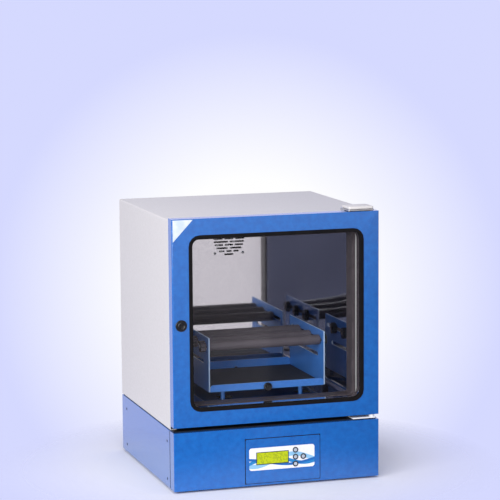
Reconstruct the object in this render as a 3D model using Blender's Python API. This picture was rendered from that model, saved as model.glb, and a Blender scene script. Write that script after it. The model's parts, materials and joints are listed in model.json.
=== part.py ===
"""A benchtop shaking incubator: a blue base with the orbital drive and the controls, an insulated cabinet with
a polished chamber, a hinged window door, and a tray with clamp bars that the drive carries round in a circle.

Metres, +Z up. The front faces -Y and the hinges are on the right, at +X. The origin is the middle of the
bottom of the whole object. Lengths named as a depth are measured from the door's front face towards the back.
"""

import math

import bmesh
import bpy
from mathutils import Matrix, Vector

# Driving dimensions of the whole instrument
WIDTH = 0.500
DEPTH = 0.4826
FOOT_HEIGHT = 0.005
BASE_HEIGHT = 0.1365
CABINET_HEIGHT = 0.4865
LATCH_PROUD = 0.006

# Fits: the least gap between pieces that touch, and the running gap of a shaft
GAP = 0.0003
RUNNING_GAP = 0.0004

# Levels and the front plane, worked out from the sizes above
FRONT = -(DEPTH - LATCH_PROUD) / 2
BACK = FRONT + DEPTH
HALF = WIDTH / 2
BASE_BOTTOM = FOOT_HEIGHT
BASE_TOP = BASE_BOTTOM + BASE_HEIGHT

# Sheet metal
SHEET = 0.0012
BEND_RADIUS = 0.003

# Base
FRONT_PANEL_DEPTH = 0.036
BASE_FLANGE = 0.012
FOOT_RADIUS = 0.014
FOOT_INSET = 0.040

# Cabinet
CABINET_FLOOR_THICK = 0.0022
CABINET_FLOOR_INSET = 0.003
CABINET_FRONT_DEPTH = 0.031
CABINET_BOTTOM = BASE_TOP + CABINET_FLOOR_THICK + 2 * GAP
CABINET_TOP = CABINET_BOTTOM + CABINET_HEIGHT

# Chamber: a box of polished sheet, open at the front
CHAMBER_WIDTH = 0.392
CHAMBER_ROOF_DROP = 0.0458
CHAMBER_FLOOR_RISE = 0.055
CHAMBER_BACK_DEPTH = 0.380
LINER_SHEET = 0.001
CHAMBER_FLOOR = BASE_TOP + CHAMBER_FLOOR_RISE
CHAMBER_TOP = CABINET_TOP - CHAMBER_ROOF_DROP
COLLAR_LENGTH = 0.036
COLLAR_WALL = 0.0025

# Door
DOOR_BOTTOM_GAP = 0.0118
DOOR_TOP_RISE = 0.0035
DOOR_THICK = 0.0286
DOOR_HINGE_RETURN = 0.022
DOOR_INNER_PLANE = 0.024
DOOR_BOTTOM = BASE_TOP + DOOR_BOTTOM_GAP
DOOR_TOP = CABINET_TOP + DOOR_TOP_RISE

# Window: the gasket's outline, the opening in the door skin and the glass
GASKET_WIDTH = 0.4225
GASKET_DROP = 0.038
GASKET_RADIUS = 0.026
GASKET_LIP = 0.009
GASKET_RISE = 0.035
GASKET_SHIFT = 0.0008
SKIN_OPENING_INSET = 0.0045
GASKET_WALL = 0.0012
GASKET_PROUD = 0.0018
GLASS_THICK = 0.004
INNER_GLASS_DEPTH = 0.018

# Hinge line of the door
HINGE_INSET = 0.016
HINGE_DEPTH = 0.009
HINGE_PIN_RADIUS = 0.004
HINGE_WIDTH = 0.064
HINGE_PLATE = 0.003
HINGE_DEPTHS = (0.002, 0.058)

# Latch
LATCH_X = -HALF + 0.0203
LATCH_RISE = 0.2373
LATCH_RADIUS = 0.0135
LATCH_Z = DOOR_BOTTOM + LATCH_RISE
CAM_LENGTH = 0.015
CAM_WIDTH = 0.009
CAM_THICK = 0.0024
CAM_DEPTH = 0.0266

# Orbital drive: the table's throw, the crank line and the cranks
ORBIT_RADIUS = 0.010
DRIVE_PLATE_THICK = 0.006
DRIVE_CRANK_DEPTH = 0.145
IDLER_DEPTH = 0.285
IDLER_SPACING = 0.180
SPINDLE_RADIUS = 0.006
CRANK_PIN_RADIUS = 0.005
CRANK_WEB_THICK = 0.007
CRANK_WEB_RADIUS = 0.018
BOSS_RADIUS = 0.020
BOSS_LENGTH = 0.060
DRIVE_PULLEY_RADIUS = 0.055
MOTOR_PULLEY_RADIUS = 0.020
PULLEY_WIDTH = 0.014
PULLEY_RIM = 0.0025
PULLEY_RISE = 0.034
MOTOR_DEPTH = 0.330
MOTOR_RADIUS = 0.038
BELT_THICK = 0.002
BELT_WIDTH = 0.009

# Shaker table and its four posts
TABLE_WIDTH = 0.230
TABLE_DEPTH = 0.236
TABLE_THICK = 0.006
TABLE_RISE = 0.0155
POST_RADIUS = 0.00525
POST_SPACING_X = 0.1923
POST_SPACING_Y = 0.200
TABLE_MIDDLE_DEPTH = 0.222
POST_CLEARANCE = 0.00275
POST_HOLE_CORNER = 0.004

# Tray
TRAY_WIDTH = 0.287
TRAY_LENGTH = 0.254
TRAY_SHIFT = 0.0065
TRAY_FRONT_DEPTH = 0.098
TRAY_SHEET = 0.0015
TRAY_SIDE_SHEET = 0.003
TRAY_RISE = 0.015
TRAY_SIDE_HEIGHT = 0.1285
TRAY_FRONT_LIP = 0.0165
TRAY_REAR_LIP = 0.0235
MAT_THICK = 0.004

# Clamp bars in the side plates' slots
BAR_RISE = 0.1045
BAR_DEPTHS = (0.127, 0.196, 0.274)
BAR_ROD_RADIUS = 0.004
BAR_SLEEVE_RADIUS = 0.012
SLOT_CLEARANCE = 0.0004
BAR_SLOT = (0.112, 0.338)
LOWER_SLOT = (0.139, 0.303)
LOWER_SLOT_RISE = 0.067
KNOB_RADIUS = 0.014
KNOB_THICK = 0.012

# Controls
OVERLAY_X = (-0.0707, 0.0886)
OVERLAY_RISE = (0.036, 0.089)
PLATE_X = (-0.079, 0.102)
PLATE_RISE = (0.006, 0.110)
PLATE_SHEET = 0.0012
OVERLAY_THICK = 0.0005
DISPLAY_X = (-0.0526, 0.0241)
DISPLAY_RISE = (0.050, 0.0774)
BUTTON_RADIUS = 0.0055
BUTTON_CLEARANCE = 0.0004
BUTTON_COLUMN = 0.0418
BUTTON_RISE = 0.0619
BUTTON_PITCH_X = 0.0191
BUTTON_PITCH_Z = 0.0165
BUTTON_PROUD = 0.0015
BUTTON_TRAVEL = 0.0008
BOARD_DEPTH = 0.0165

# Fan at the back of the chamber
FAN_DROP = 0.0511
FAN_RADIUS = 0.0415
FAN_SCREW_SPACING = 0.0715
GRILLE_PITCH = 0.0078
GRILLE_SLOT = 0.0042

# Rear power inlet and switch
INLET_X = -0.150
INLET_RISE = 0.060


def clear_scene():
    for old in list(bpy.data.objects):
        bpy.data.objects.remove(old)


def linear(channel):
    """The linear value of one sRGB channel given from 0 to 255."""
    share = channel / 255
    return share / 12.92 if share <= 0.04045 else ((share + 0.055) / 1.055) ** 2.4


def make_material(name, colour, roughness, metallic=0.0, alpha=1.0):
    material = bpy.data.materials.new(name)
    material.use_nodes = True
    shader = material.node_tree.nodes["Principled BSDF"]
    red, green, blue = (linear(int(colour[i : i + 2], 16)) for i in (0, 2, 4))
    shader.inputs["Base Color"].default_value = (red, green, blue, 1.0)
    shader.inputs["Roughness"].default_value = roughness
    shader.inputs["Metallic"].default_value = metallic
    shader.inputs["Alpha"].default_value = alpha
    return material


clear_scene()
BLUE_PAINT = make_material("blue_powder_coat", "1B6CC4", 0.42)
CREAM_PAINT = make_material("light_powder_coat", "DAD6D4", 0.45)
POLISHED = make_material("polished_stainless", "B9B4B6", 0.12, 1.0)
ZINC = make_material("zinc_plated_steel", "C4C3C2", 0.35, 1.0)
STEEL = make_material("machined_steel", "A9A9AB", 0.30, 1.0)
ALUMINIUM = make_material("cast_aluminium", "B5B7BA", 0.45, 1.0)
BLACK_RUBBER = make_material("black_rubber", "1C1B1D", 0.75)
GREY_RUBBER = make_material("sleeve_rubber", "5B5258", 0.70)
SILICONE = make_material("silicone_seal", "3A383B", 0.60)
BLACK_PLASTIC = make_material("black_plastic", "1B1A1C", 0.40)
OVERLAY_FILM = make_material("printed_film", "EDF1F4", 0.35)
LCD = make_material("display_yellow_green", "CBDD1C", 0.25)
BOARD = make_material("circuit_board", "1E5B3A", 0.50)
WOOL = make_material("mineral_wool", "B9A77B", 0.95)
WHITE_PAINT = make_material("white_inner_frame", "E8E6E4", 0.50)
GLASS = make_material("float_glass", "E4EEF0", 0.03, 0.0, 0.25)


def depth(distance):
    """The world Y of a plane this far behind the door's front face."""
    return FRONT + distance


def rise(height):
    """The world Z of a level this far above the bottom of the base."""
    return BASE_BOTTOM + height


def make_object(name, bm, material, smooth=True):
    """An object that holds a finished bmesh, with its faces turned outwards and round stretches shaded smooth."""
    bmesh.ops.remove_doubles(bm, verts=bm.verts, dist=1e-6)
    bmesh.ops.recalc_face_normals(bm, faces=bm.faces)
    mesh = bpy.data.meshes.new(name)
    bm.to_mesh(mesh)
    bm.free()
    if material:
        mesh.materials.append(material)
    if smooth:
        mesh.shade_smooth()
        mesh.set_sharp_from_angle(angle=math.radians(35))
    made = bpy.data.objects.new(name, mesh)
    bpy.context.scene.collection.objects.link(made)
    return made


def on_plane(axis, u, v, level):
    """The world point of (u, v) on a plane square to axis: X takes (y, z), Y takes (x, z), Z takes (x, y)."""
    if axis == "X":
        return Vector((level, u, v))
    if axis == "Y":
        return Vector((u, level, v))
    return Vector((u, v, level))


def prism(name, loops, axis, low, high, material=None, smooth=True):
    """A plate between two levels of one axis. The first loop is its outline and the others are holes."""
    bm = bmesh.new()
    edges = []
    for loop in loops:
        corners = [bm.verts.new(on_plane(axis, u, v, low)) for u, v in loop]
        edges += [bm.edges.new((a, b)) for a, b in zip(corners, corners[1:] + corners[:1])]
    if len(loops) == 1:
        faces = [bm.faces.new(corners)]
    else:
        faces = [f for f in bmesh.ops.triangle_fill(bm, edges=edges, use_beauty=True)["geom"]
                 if isinstance(f, bmesh.types.BMFace)]
    lifted = bmesh.ops.extrude_face_region(bm, geom=faces)["geom"]
    step = on_plane(axis, 0, 0, high - low)
    bmesh.ops.translate(bm, vec=step, verts=[v for v in lifted if isinstance(v, bmesh.types.BMVert)])
    return make_object(name, bm, material, smooth)


def box(name, low, high, material=None):
    """A plain block between two corners."""
    (x0, y0, z0), (x1, y1, z1) = low, high
    return prism(name, [[(x0, y0), (x1, y0), (x1, y1), (x0, y1)]], "Z", z0, z1, material, smooth=False)


def rounded(u0, v0, u1, v1, radii, steps=4):
    """A rectangle's outline with an arc of its own radius at each corner, from the low corner anticlockwise."""
    if not isinstance(radii, (tuple, list)):
        radii = (radii,) * 4
    corners = ((u0, v0, 1, 1, 180), (u1, v0, -1, 1, 270), (u1, v1, -1, -1, 0), (u0, v1, 1, -1, 90))
    points = []
    for (u, v, du, dv, start), radius in zip(corners, radii):
        if radius <= 0:
            points.append((u, v))
            continue
        for i in range(steps + 1):
            angle = math.radians(start + 90 * i / steps)
            points.append((u + du * radius + radius * math.cos(angle), v + dv * radius + radius * math.sin(angle)))
    return points


def circle(u, v, radius, steps=24, start=0.0):
    turn = 2 * math.pi / steps
    return [(u + radius * math.cos(start + i * turn), v + radius * math.sin(start + i * turn)) for i in range(steps)]


def slot(u0, u1, v, half, steps=5):
    """A slot along u from u0 to u1, with round ends."""
    right = [(-90 + 180 * i / steps) for i in range(steps + 1)]
    ends = [(u1 - half, a) for a in right] + [(u0 + half, a + 180) for a in right]
    return [(u + half * math.cos(math.radians(a)), v + half * math.sin(math.radians(a))) for u, a in ends]


def turned(name, profile, centre, axis="Z", material=None, steps=24):
    """A solid turned about an axis through centre. profile lists (radius, place along the axis) and is closed."""
    bm = bmesh.new()
    points = [bm.verts.new((radius, 0.0, along)) for radius, along in profile]
    edges = [bm.edges.new(pair) for pair in zip(points, points[1:])]
    if profile[0][0] > 0 and profile[-1][0] > 0:
        edges.append(bm.edges.new((points[-1], points[0])))
    bmesh.ops.spin(bm, geom=points + edges, cent=(0, 0, 0), axis=(0, 0, 1), angle=2 * math.pi, steps=steps,
                   use_merge=True, use_duplicate=False)
    turn = {"Z": Matrix(), "X": Matrix.Rotation(math.pi / 2, 4, "Y"), "Y": Matrix.Rotation(-math.pi / 2, 4, "X")}
    bm.transform(Matrix.Translation(Vector(centre)) @ turn[axis])
    return make_object(name, bm, material)


def merged(name, pieces):
    """One hidden object that holds the meshes of several, for use as a single Boolean tool."""
    bm = bmesh.new()
    for piece in pieces:
        bm.from_mesh(piece.data)
        bpy.data.objects.remove(piece)
    mesh = bpy.data.meshes.new(name)
    bm.to_mesh(mesh)
    bm.free()
    tool = bpy.data.objects.new(name, mesh)
    bpy.context.scene.collection.objects.link(tool)
    tool.hide_render = True
    tool.hide_set(True)
    tool.display_type = "WIRE"
    return tool


def combine(target, pieces, operation):
    """Joins pieces to target, or cuts them out of it, with one Boolean."""
    step = target.modifiers.new(operation.lower(), "BOOLEAN")
    step.operation = operation
    step.solver = "EXACT"
    step.use_self = len(pieces) > 1
    step.object = merged(f"{target.name}_{operation.lower()}_tool", pieces)
    return target


def join(target, *pieces):
    return combine(target, pieces, "UNION")


def cut(target, *pieces):
    return combine(target, pieces, "DIFFERENCE")


def shift_origin(target, place):
    """Puts an object's origin on its joint, with the shape where it was."""
    target.data.transform(Matrix.Translation(-Vector(place)))
    target.location = place
    return target


# Base: a folded tub, a folded front panel, a back panel and four feet


def make_base_tub():
    """The bottom and both sides, folded from one sheet, with flanges along the top that carry the cabinet."""
    top, floor = BASE_TOP, BASE_BOTTOM + SHEET
    inner, flange = HALF - SHEET, HALF - BASE_FLANGE
    outline = [(-HALF, BASE_BOTTOM), (HALF, BASE_BOTTOM), (HALF, top), (flange, top), (flange, top - SHEET),
               (inner, top - SHEET), (inner, floor), (-inner, floor), (-inner, top - SHEET),
               (-flange, top - SHEET), (-flange, top), (-HALF, top)]
    return prism("base_tub", [outline], "Y", depth(FRONT_PANEL_DEPTH + GAP), BACK - SHEET - 2 * GAP,
                 BLUE_PAINT, smooth=False)


def make_base_front_panel():
    """The front of the base: a shallow folded tray, open at the back, with openings for display and buttons."""
    front, back = FRONT, depth(FRONT_PANEL_DEPTH)
    outline = rounded(-HALF, front, HALF, back, (BEND_RADIUS, BEND_RADIUS, 0, 0), 3)
    panel = prism("base_front_panel", [outline], "Z", BASE_BOTTOM, BASE_TOP, BLUE_PAINT)
    hollow = box("hollow", (-HALF + SHEET, front + SHEET, BASE_BOTTOM + SHEET),
                 (HALF - SHEET, back + 0.01, BASE_TOP - SHEET))
    openings = [prism("opening", [loop], "Y", front - 0.01, front + 0.01)
                for loop in [display_loop(0.004), *button_loops(0.002)]]
    return cut(panel, hollow, *openings)


def display_loop(margin):
    (x0, x1), (z0, z1) = DISPLAY_X, DISPLAY_RISE
    return rounded(x0 - margin, rise(z0) - margin, x1 + margin, rise(z1) + margin, 0.001, 1)


def button_places():
    """The four buttons: three in a column and one to the right of the middle one."""
    column, row = BUTTON_COLUMN, rise(BUTTON_RISE)
    return {"button_up": (column, row + BUTTON_PITCH_Z), "button_middle": (column, row),
            "button_down": (column, row - BUTTON_PITCH_Z), "button_right": (column + BUTTON_PITCH_X, row)}


def button_loops(margin):
    return [circle(x, z, BUTTON_RADIUS + margin, 16) for x, z in button_places().values()]


def make_feet():
    """Four round feet under the tub, each a turned piece that widens towards the floor."""
    for side, x in (("left", -HALF + FOOT_INSET), ("right", HALF - FOOT_INSET)):
        for end, y in (("front", FRONT + FOOT_INSET * 2), ("rear", BACK - FOOT_INSET)):
            top = FOOT_HEIGHT - GAP
            profile = [(0, 0), (FOOT_RADIUS, 0), (FOOT_RADIUS, 0.0015), (FOOT_RADIUS - 0.002, top), (0, top)]
            turned(f"foot_{end}_{side}", profile, (x, y, 0), "Z", BLACK_RUBBER, 20)


# Rear of the base: the plate, its inlet and the switch
INLET_SIZE = (0.0275, 0.0200)
INLET_WALL = 0.0025
INLET_DEEP = 0.017
INLET_FLANGE = 0.0035
INLET_FACE = 0.0015
BLADE_SIZE = (0.002, 0.004)
BLADE_SPACING = 0.014
BLADE_OFFSET = 0.004
ROCKER_SIZE = (0.011, 0.021)
ROCKER_SPACING = 0.032
ROCKER_X = INLET_X + ROCKER_SPACING
ROCKER_TILT = 10.0
ROCKER_DEEP = 0.010
HOUSING_X = (INLET_X - 0.019, ROCKER_X + 0.010)
HOUSING_HALF_HEIGHT = 0.0145
VENT_SLOT = (0.030, 0.0022)
VENT_PITCH = 0.009


def vent_rows(middle_x, middle_z, rows, slot_half):
    """Rows of two vent slots each, above one another."""
    length = VENT_SLOT[0]
    for row in range(rows):
        z = middle_z + (row - (rows - 1) / 2) * VENT_PITCH
        for side in (-1, 1):
            u = middle_x + side * (length / 2 + 0.004)
            yield slot(u - length / 2, u + length / 2, z, slot_half, 3)


def make_base_back_panel():
    loop = rounded(-HALF + GAP, BASE_BOTTOM + GAP, HALF - GAP, BASE_TOP - GAP, 0)
    middle = rise(INLET_RISE)
    window = rounded(HOUSING_X[0] - GAP, middle - HOUSING_HALF_HEIGHT - GAP, HOUSING_X[1] + GAP,
                     middle + HOUSING_HALF_HEIGHT + GAP, 0.001, 1)
    vents = vent_rows(0.06, middle, 5, VENT_SLOT[1])
    return prism("base_back_panel", [loop, window, *vents], "Y", BACK - SHEET, BACK, BLUE_PAINT, smooth=False)


def make_power_inlet():
    """The inlet's housing behind the back panel: a socket with three blades and the well of the switch."""
    middle = rise(INLET_RISE)
    (x0, x1), half = HOUSING_X, HOUSING_HALF_HEIGHT
    body = box("power_inlet", (x0, BACK - 0.030, middle - half), (x1, BACK - INLET_FACE, middle + half),
               BLACK_PLASTIC)
    width, height = INLET_SIZE
    corner = (0.001, 0.001, 0.005, 0.005)
    socket = prism("socket", [rounded(INLET_X - width / 2, middle - height / 2, INLET_X + width / 2,
                                      middle + height / 2, corner, 2)], "Y", BACK - INLET_DEEP, BACK + 0.01)
    reach_x = ROCKER_SIZE[0] / 2 + RUNNING_GAP
    reach_z = ROCKER_SIZE[1] / 2 + 3 * RUNNING_GAP
    well = box("well", (ROCKER_X - reach_x, BACK - 0.017, middle - reach_z),
               (ROCKER_X + reach_x, BACK + 0.01, middle + reach_z))
    cut(body, socket, well)
    flange_depth = BACK - SHEET - GAP - INLET_FLANGE
    flange = box("flange", (x0 - 0.006, flange_depth, middle - half - 0.004),
                 (x1 + 0.006, BACK - SHEET - GAP, middle + half + 0.004))
    hole = box("flange_hole", (x0 + 0.001, flange_depth - 0.01, middle - half + 0.001),
               (x1 - 0.001, BACK + 0.01, middle + half - 0.001))
    cut(flange, hole)
    blades = []
    for x, z in ((-BLADE_SPACING / 2, -BLADE_OFFSET / 2), (0, BLADE_OFFSET), (BLADE_SPACING / 2, -BLADE_OFFSET / 2)):
        blades.append(box("blade", (INLET_X + x - BLADE_SIZE[0] / 2, BACK - INLET_DEEP - 0.002,
                                    middle + z - BLADE_SIZE[1] / 2),
                          (INLET_X + x + BLADE_SIZE[0] / 2, BACK - INLET_FACE - 0.001,
                           middle + z + BLADE_SIZE[1] / 2)))
    bpy.context.view_layer.update()
    solid_flange = bpy.data.meshes.new_from_object(flange.evaluated_get(bpy.context.evaluated_depsgraph_get()))
    flange.modifiers.clear()
    flange.data = solid_flange
    return join(body, flange, *blades)


def make_power_switch():
    """The rocker: a wedge with two faces that meets its pivot in the middle of the well."""
    middle = rise(INLET_RISE)
    half_height = ROCKER_SIZE[1] / 2
    face = BACK - INLET_FACE
    lean = half_height * math.tan(math.radians(ROCKER_TILT))
    outline = [(face - ROCKER_DEEP, middle - half_height * 0.55), (face - ROCKER_DEEP, middle + half_height * 0.55),
               (face - lean, middle + half_height), (face, middle + half_height * 0.15),
               (face, middle - half_height)]
    rocker = prism("power_switch_rocker", [outline], "X", ROCKER_X - ROCKER_SIZE[0] / 2,
                   ROCKER_X + ROCKER_SIZE[0] / 2, BLACK_PLASTIC, smooth=False)
    return shift_origin(rocker, (ROCKER_X, face - ROCKER_DEEP / 2, middle))


# Controls on the front panel


def make_control_plate():
    (x0, x1), (z0, z1) = PLATE_X, PLATE_RISE
    outline = rounded(x0, rise(z0), x1, rise(z1), 0.003, 3)
    loops = [outline, display_loop(0.002), *button_loops(0.001)]
    return prism("control_plate", loops, "Y", FRONT - GAP - PLATE_SHEET, FRONT - GAP, BLUE_PAINT)


def make_control_overlay():
    """The printed film on the control plate, with a window for the display and holes for the buttons."""
    (x0, x1), (z0, z1) = OVERLAY_X, OVERLAY_RISE
    outline = rounded(x0, rise(z0), x1, rise(z1), 0.006, 4)
    loops = [outline, display_loop(0.0), *button_loops(BUTTON_CLEARANCE)]
    back = FRONT - 2 * GAP - PLATE_SHEET
    return prism("control_overlay", loops, "Y", back - OVERLAY_THICK, back, OVERLAY_FILM)


def make_display():
    """The display module: its glass stands in the opening and its board is carried behind the panel."""
    (x0, x1), (z0, z1) = DISPLAY_X, DISPLAY_RISE
    glass_front = FRONT - PLATE_SHEET
    module = box("display_module", (x0 - 0.001, glass_front, rise(z0) - 0.001),
                 (x1 + 0.001, FRONT + 0.004, rise(z1) + 0.001), LCD)
    board = box("display_board", (x0 - 0.010, FRONT + SHEET + GAP, rise(z0) - 0.016),
                (x1 + 0.0095, FRONT + 0.008, rise(z1) + 0.013))
    return join(module, board)


def make_buttons():
    """Four buttons: a domed cap through film and panel, a flange behind the panel and a stem to the board."""
    face = FRONT - 2 * GAP - PLATE_SHEET - OVERLAY_THICK
    front = face - BUTTON_PROUD
    flange = FRONT + SHEET + GAP
    stem_end = depth(BOARD_DEPTH) - BUTTON_TRAVEL - GAP
    profile = [(0, 0), (BUTTON_RADIUS - 0.0012, 0), (BUTTON_RADIUS, 0.0008), (BUTTON_RADIUS, flange - front),
               (BUTTON_RADIUS + 0.0012, flange - front), (BUTTON_RADIUS + 0.0012, flange - front + 0.001),
               (0.002, flange - front + 0.001), (0.002, stem_end - front), (0, stem_end - front)]
    for name, (x, z) in button_places().items():
        turned(name, profile, (x, front, z), "Y", BLACK_PLASTIC, 12)


def make_control_board():
    """The board behind the buttons, on four standoffs that reach the front panel."""
    z0, z1 = rise(PLATE_RISE[0] + 0.008), rise(PLATE_RISE[1] - 0.006)
    x0, x1 = PLATE_X[0] + 0.004, PLATE_X[1] - 0.004
    y = depth(BOARD_DEPTH)
    board = box("control_board", (x0, y, z0), (x1, y + 0.0016, z1), BOARD)
    posts = [prism("standoff", [circle(x, z, 0.003, 8)], "Y", FRONT + SHEET + GAP, y + 0.0008)
             for x in (x0 + 0.004, x1 - 0.004) for z in (z0 + 0.004, z1 - 0.004)]
    parts = [box("component", (x, y + 0.001, z), (x + w, y + 0.0016 + t, z + h))
             for x, z, w, t, h in ((x0 + 0.02, z0 + 0.02, 0.030, 0.012, 0.026), (x0 + 0.07, z0 + 0.05, 0.014, 0.003, 0.014),
                                   (x0 + 0.11, z0 + 0.012, 0.022, 0.015, 0.016))]
    return join(board, *posts, *parts)


make_base_tub()
make_base_front_panel()
make_feet()
make_base_back_panel()
make_power_inlet()
make_power_switch()
make_control_plate()
make_control_overlay()
make_display()
make_buttons()
make_control_board()

# Orbital drive, hung from a plate under the cabinet floor
DRIVE_PLATE_HALF_WIDTH = 0.150
DRIVE_PLATE_DEPTHS = (0.085, 0.400)
BOSS_STAND = CABINET_FLOOR_THICK + 5 * GAP
COLLAR_RADIUS = 0.009
COLLAR_THICK = 0.003
COUNTERWEIGHT_RADIUS = 0.034
SHOULDER_RADIUS = 0.0068
MOTOR_FLANGE = 0.042
MOTOR_FLANGE_THICK = 0.008
MOTOR_LENGTH = 0.070
MOTOR_SHAFT_RADIUS = 0.004
MOTOR_SHAFT_BORE = 0.015
CRANKS = {"drive_crank": (0.0, DRIVE_CRANK_DEPTH), "idler_crank_left": (-IDLER_SPACING / 2, IDLER_DEPTH),
          "idler_crank_right": (IDLER_SPACING / 2, IDLER_DEPTH)}
BOSS_TOP = BASE_TOP + BOSS_STAND
BOSS_BOTTOM = BASE_TOP - BOSS_LENGTH
WEB_BOTTOM = BOSS_TOP + GAP
TABLE_BOTTOM = BASE_TOP + TABLE_RISE


def make_drive_plate():
    """A cast plate with a bearing boss for each crank."""
    y0, y1 = (depth(d) for d in DRIVE_PLATE_DEPTHS)
    half = DRIVE_PLATE_HALF_WIDTH
    plate = prism("drive_plate", [rounded(-half, y0, half, y1, 0.012, 3)], "Z", BASE_TOP - DRIVE_PLATE_THICK,
                  BASE_TOP, ALUMINIUM)
    bosses = [prism("boss", [circle(x, depth(d), BOSS_RADIUS, 16)], "Z", BOSS_BOTTOM, BOSS_TOP)
              for x, d in CRANKS.values()]
    join(plate, *bosses)
    bores = [prism("bore", [circle(x, depth(d), SPINDLE_RADIUS + RUNNING_GAP, 16)], "Z", BOSS_BOTTOM - 0.01,
                   BOSS_TOP + 0.01) for x, d in CRANKS.values()]
    return cut(plate, *bores)


def web_outline(x, y, weighted):
    """The crank web seen from above: a disc, with a counterweight lobe opposite the pin on the driven crank."""
    if not weighted:
        return circle(x, y, CRANK_WEB_RADIUS, 20)
    lobe = [math.radians(205 + 13 * i) for i in range(11)]
    disc = [math.radians(-10 + 20 * i) for i in range(11)]
    return ([(x + CRANK_WEB_RADIUS * math.cos(a), y + CRANK_WEB_RADIUS * math.sin(a)) for a in disc]
            + [(x + COUNTERWEIGHT_RADIUS * math.cos(a), y + COUNTERWEIGHT_RADIUS * math.sin(a)) for a in lobe])


def pulley_profile(radius, low, bore_top):
    """The half section of a flanged pulley from its lower face up, ending on the shaft that carries it."""
    high, rim = low + PULLEY_WIDTH, radius + PULLEY_RIM
    edge = (PULLEY_WIDTH - BELT_WIDTH) / 2 - GAP
    return [(0, low), (rim, low), (rim, low + edge), (radius, low + edge), (radius, high - edge),
            (rim, high - edge), (rim, high), (SPINDLE_RADIUS + 0.004, high), (SPINDLE_RADIUS, high + 0.004),
            (SPINDLE_RADIUS, bore_top), (0, bore_top)]


def make_cranks():
    """Each crank turns in its boss and ends in a pin at the throw's radius, behind its axis at rest."""
    for name, (x, d) in CRANKS.items():
        y = depth(d)
        driven = name == "drive_crank"
        top = WEB_BOTTOM + CRANK_WEB_THICK / 2
        if driven:
            profile = pulley_profile(DRIVE_PULLEY_RADIUS, rise(PULLEY_RISE), top)
        else:
            low = BOSS_BOTTOM - GAP - COLLAR_THICK
            profile = [(0, low), (COLLAR_RADIUS, low), (COLLAR_RADIUS, BOSS_BOTTOM - GAP),
                       (SPINDLE_RADIUS, BOSS_BOTTOM - GAP), (SPINDLE_RADIUS, top), (0, top)]
        crank = turned(name, profile, (x, y, 0), "Z", STEEL, 24 if driven else 16)
        web = prism("web", [web_outline(x, y, driven)], "Z", WEB_BOTTOM, WEB_BOTTOM + CRANK_WEB_THICK)
        pin_y = y + ORBIT_RADIUS
        shoulder = prism("shoulder", [circle(x, pin_y, SHOULDER_RADIUS, 16)], "Z", WEB_BOTTOM + 0.001,
                         TABLE_BOTTOM - GAP)
        pin = prism("pin", [circle(x, pin_y, CRANK_PIN_RADIUS, 16)], "Z", WEB_BOTTOM + 0.002,
                    TABLE_BOTTOM + TABLE_THICK)
        shift_origin(crank, (x, y, 0))
        join(crank, web, shoulder, pin)


def make_shaker_table():
    """The plate on the crank pins, with the four posts that pass through the chamber floor."""
    middle = depth(TABLE_MIDDLE_DEPTH)
    half_x, half_y = TABLE_WIDTH / 2, TABLE_DEPTH / 2
    holes = [circle(x, depth(d) + ORBIT_RADIUS, CRANK_PIN_RADIUS + RUNNING_GAP, 16) for x, d in CRANKS.values()]
    table = prism("shaker_table", [rounded(-half_x, middle - half_y, half_x, middle + half_y, 0.010, 3), *holes],
                  "Z", TABLE_BOTTOM, TABLE_BOTTOM + TABLE_THICK, ALUMINIUM)
    posts = [prism("post", [circle(x, y, POST_RADIUS, 16)], "Z", TABLE_BOTTOM + 0.001,
                   CHAMBER_FLOOR + TRAY_RISE - GAP) for x, y in post_places()]
    return join(table, *posts)


def post_places():
    middle = depth(TABLE_MIDDLE_DEPTH)
    return [(sx * POST_SPACING_X / 2, middle + sy * POST_SPACING_Y / 2) for sx in (-1, 1) for sy in (-1, 1)]


def make_motor():
    """A flanged motor under the drive plate, with its shaft hole at the lower end."""
    y = depth(MOTOR_DEPTH)
    top = BASE_TOP - DRIVE_PLATE_THICK - GAP
    low = top - MOTOR_FLANGE_THICK - MOTOR_LENGTH
    half = MOTOR_FLANGE
    motor = prism("drive_motor", [rounded(-half, y - half, half, y + half, 0.006, 2)], "Z",
                  top - MOTOR_FLANGE_THICK, top, ALUMINIUM)
    body = turned("can", [(0, low), (0.012, low), (0.012, low + 0.004), (MOTOR_RADIUS - 0.004, low + 0.004),
                          (MOTOR_RADIUS, low + 0.008), (MOTOR_RADIUS, top - 0.004), (0, top - 0.004)],
                  (0, y, 0), "Z", None, 28)
    bore = prism("shaft_bore", [circle(0, y, MOTOR_SHAFT_RADIUS + RUNNING_GAP, 12)], "Z", low - 0.01,
                 low + MOTOR_SHAFT_BORE)
    join(motor, body)
    return cut(motor, bore)


def make_motor_pulley():
    y = depth(MOTOR_DEPTH)
    motor_low = BASE_TOP - DRIVE_PLATE_THICK - GAP - MOTOR_FLANGE_THICK - MOTOR_LENGTH
    low = rise(PULLEY_RISE)
    profile = pulley_profile(MOTOR_PULLEY_RADIUS, low, motor_low)[:-4]
    shaft_top = motor_low + MOTOR_SHAFT_BORE - 2 * GAP
    high = low + PULLEY_WIDTH
    profile += [(MOTOR_SHAFT_RADIUS, high), (MOTOR_SHAFT_RADIUS, shaft_top), (0, shaft_top)]
    return shift_origin(turned("motor_pulley", profile, (0, y, 0), "Z", STEEL, 24), (0, y, 0))


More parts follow.
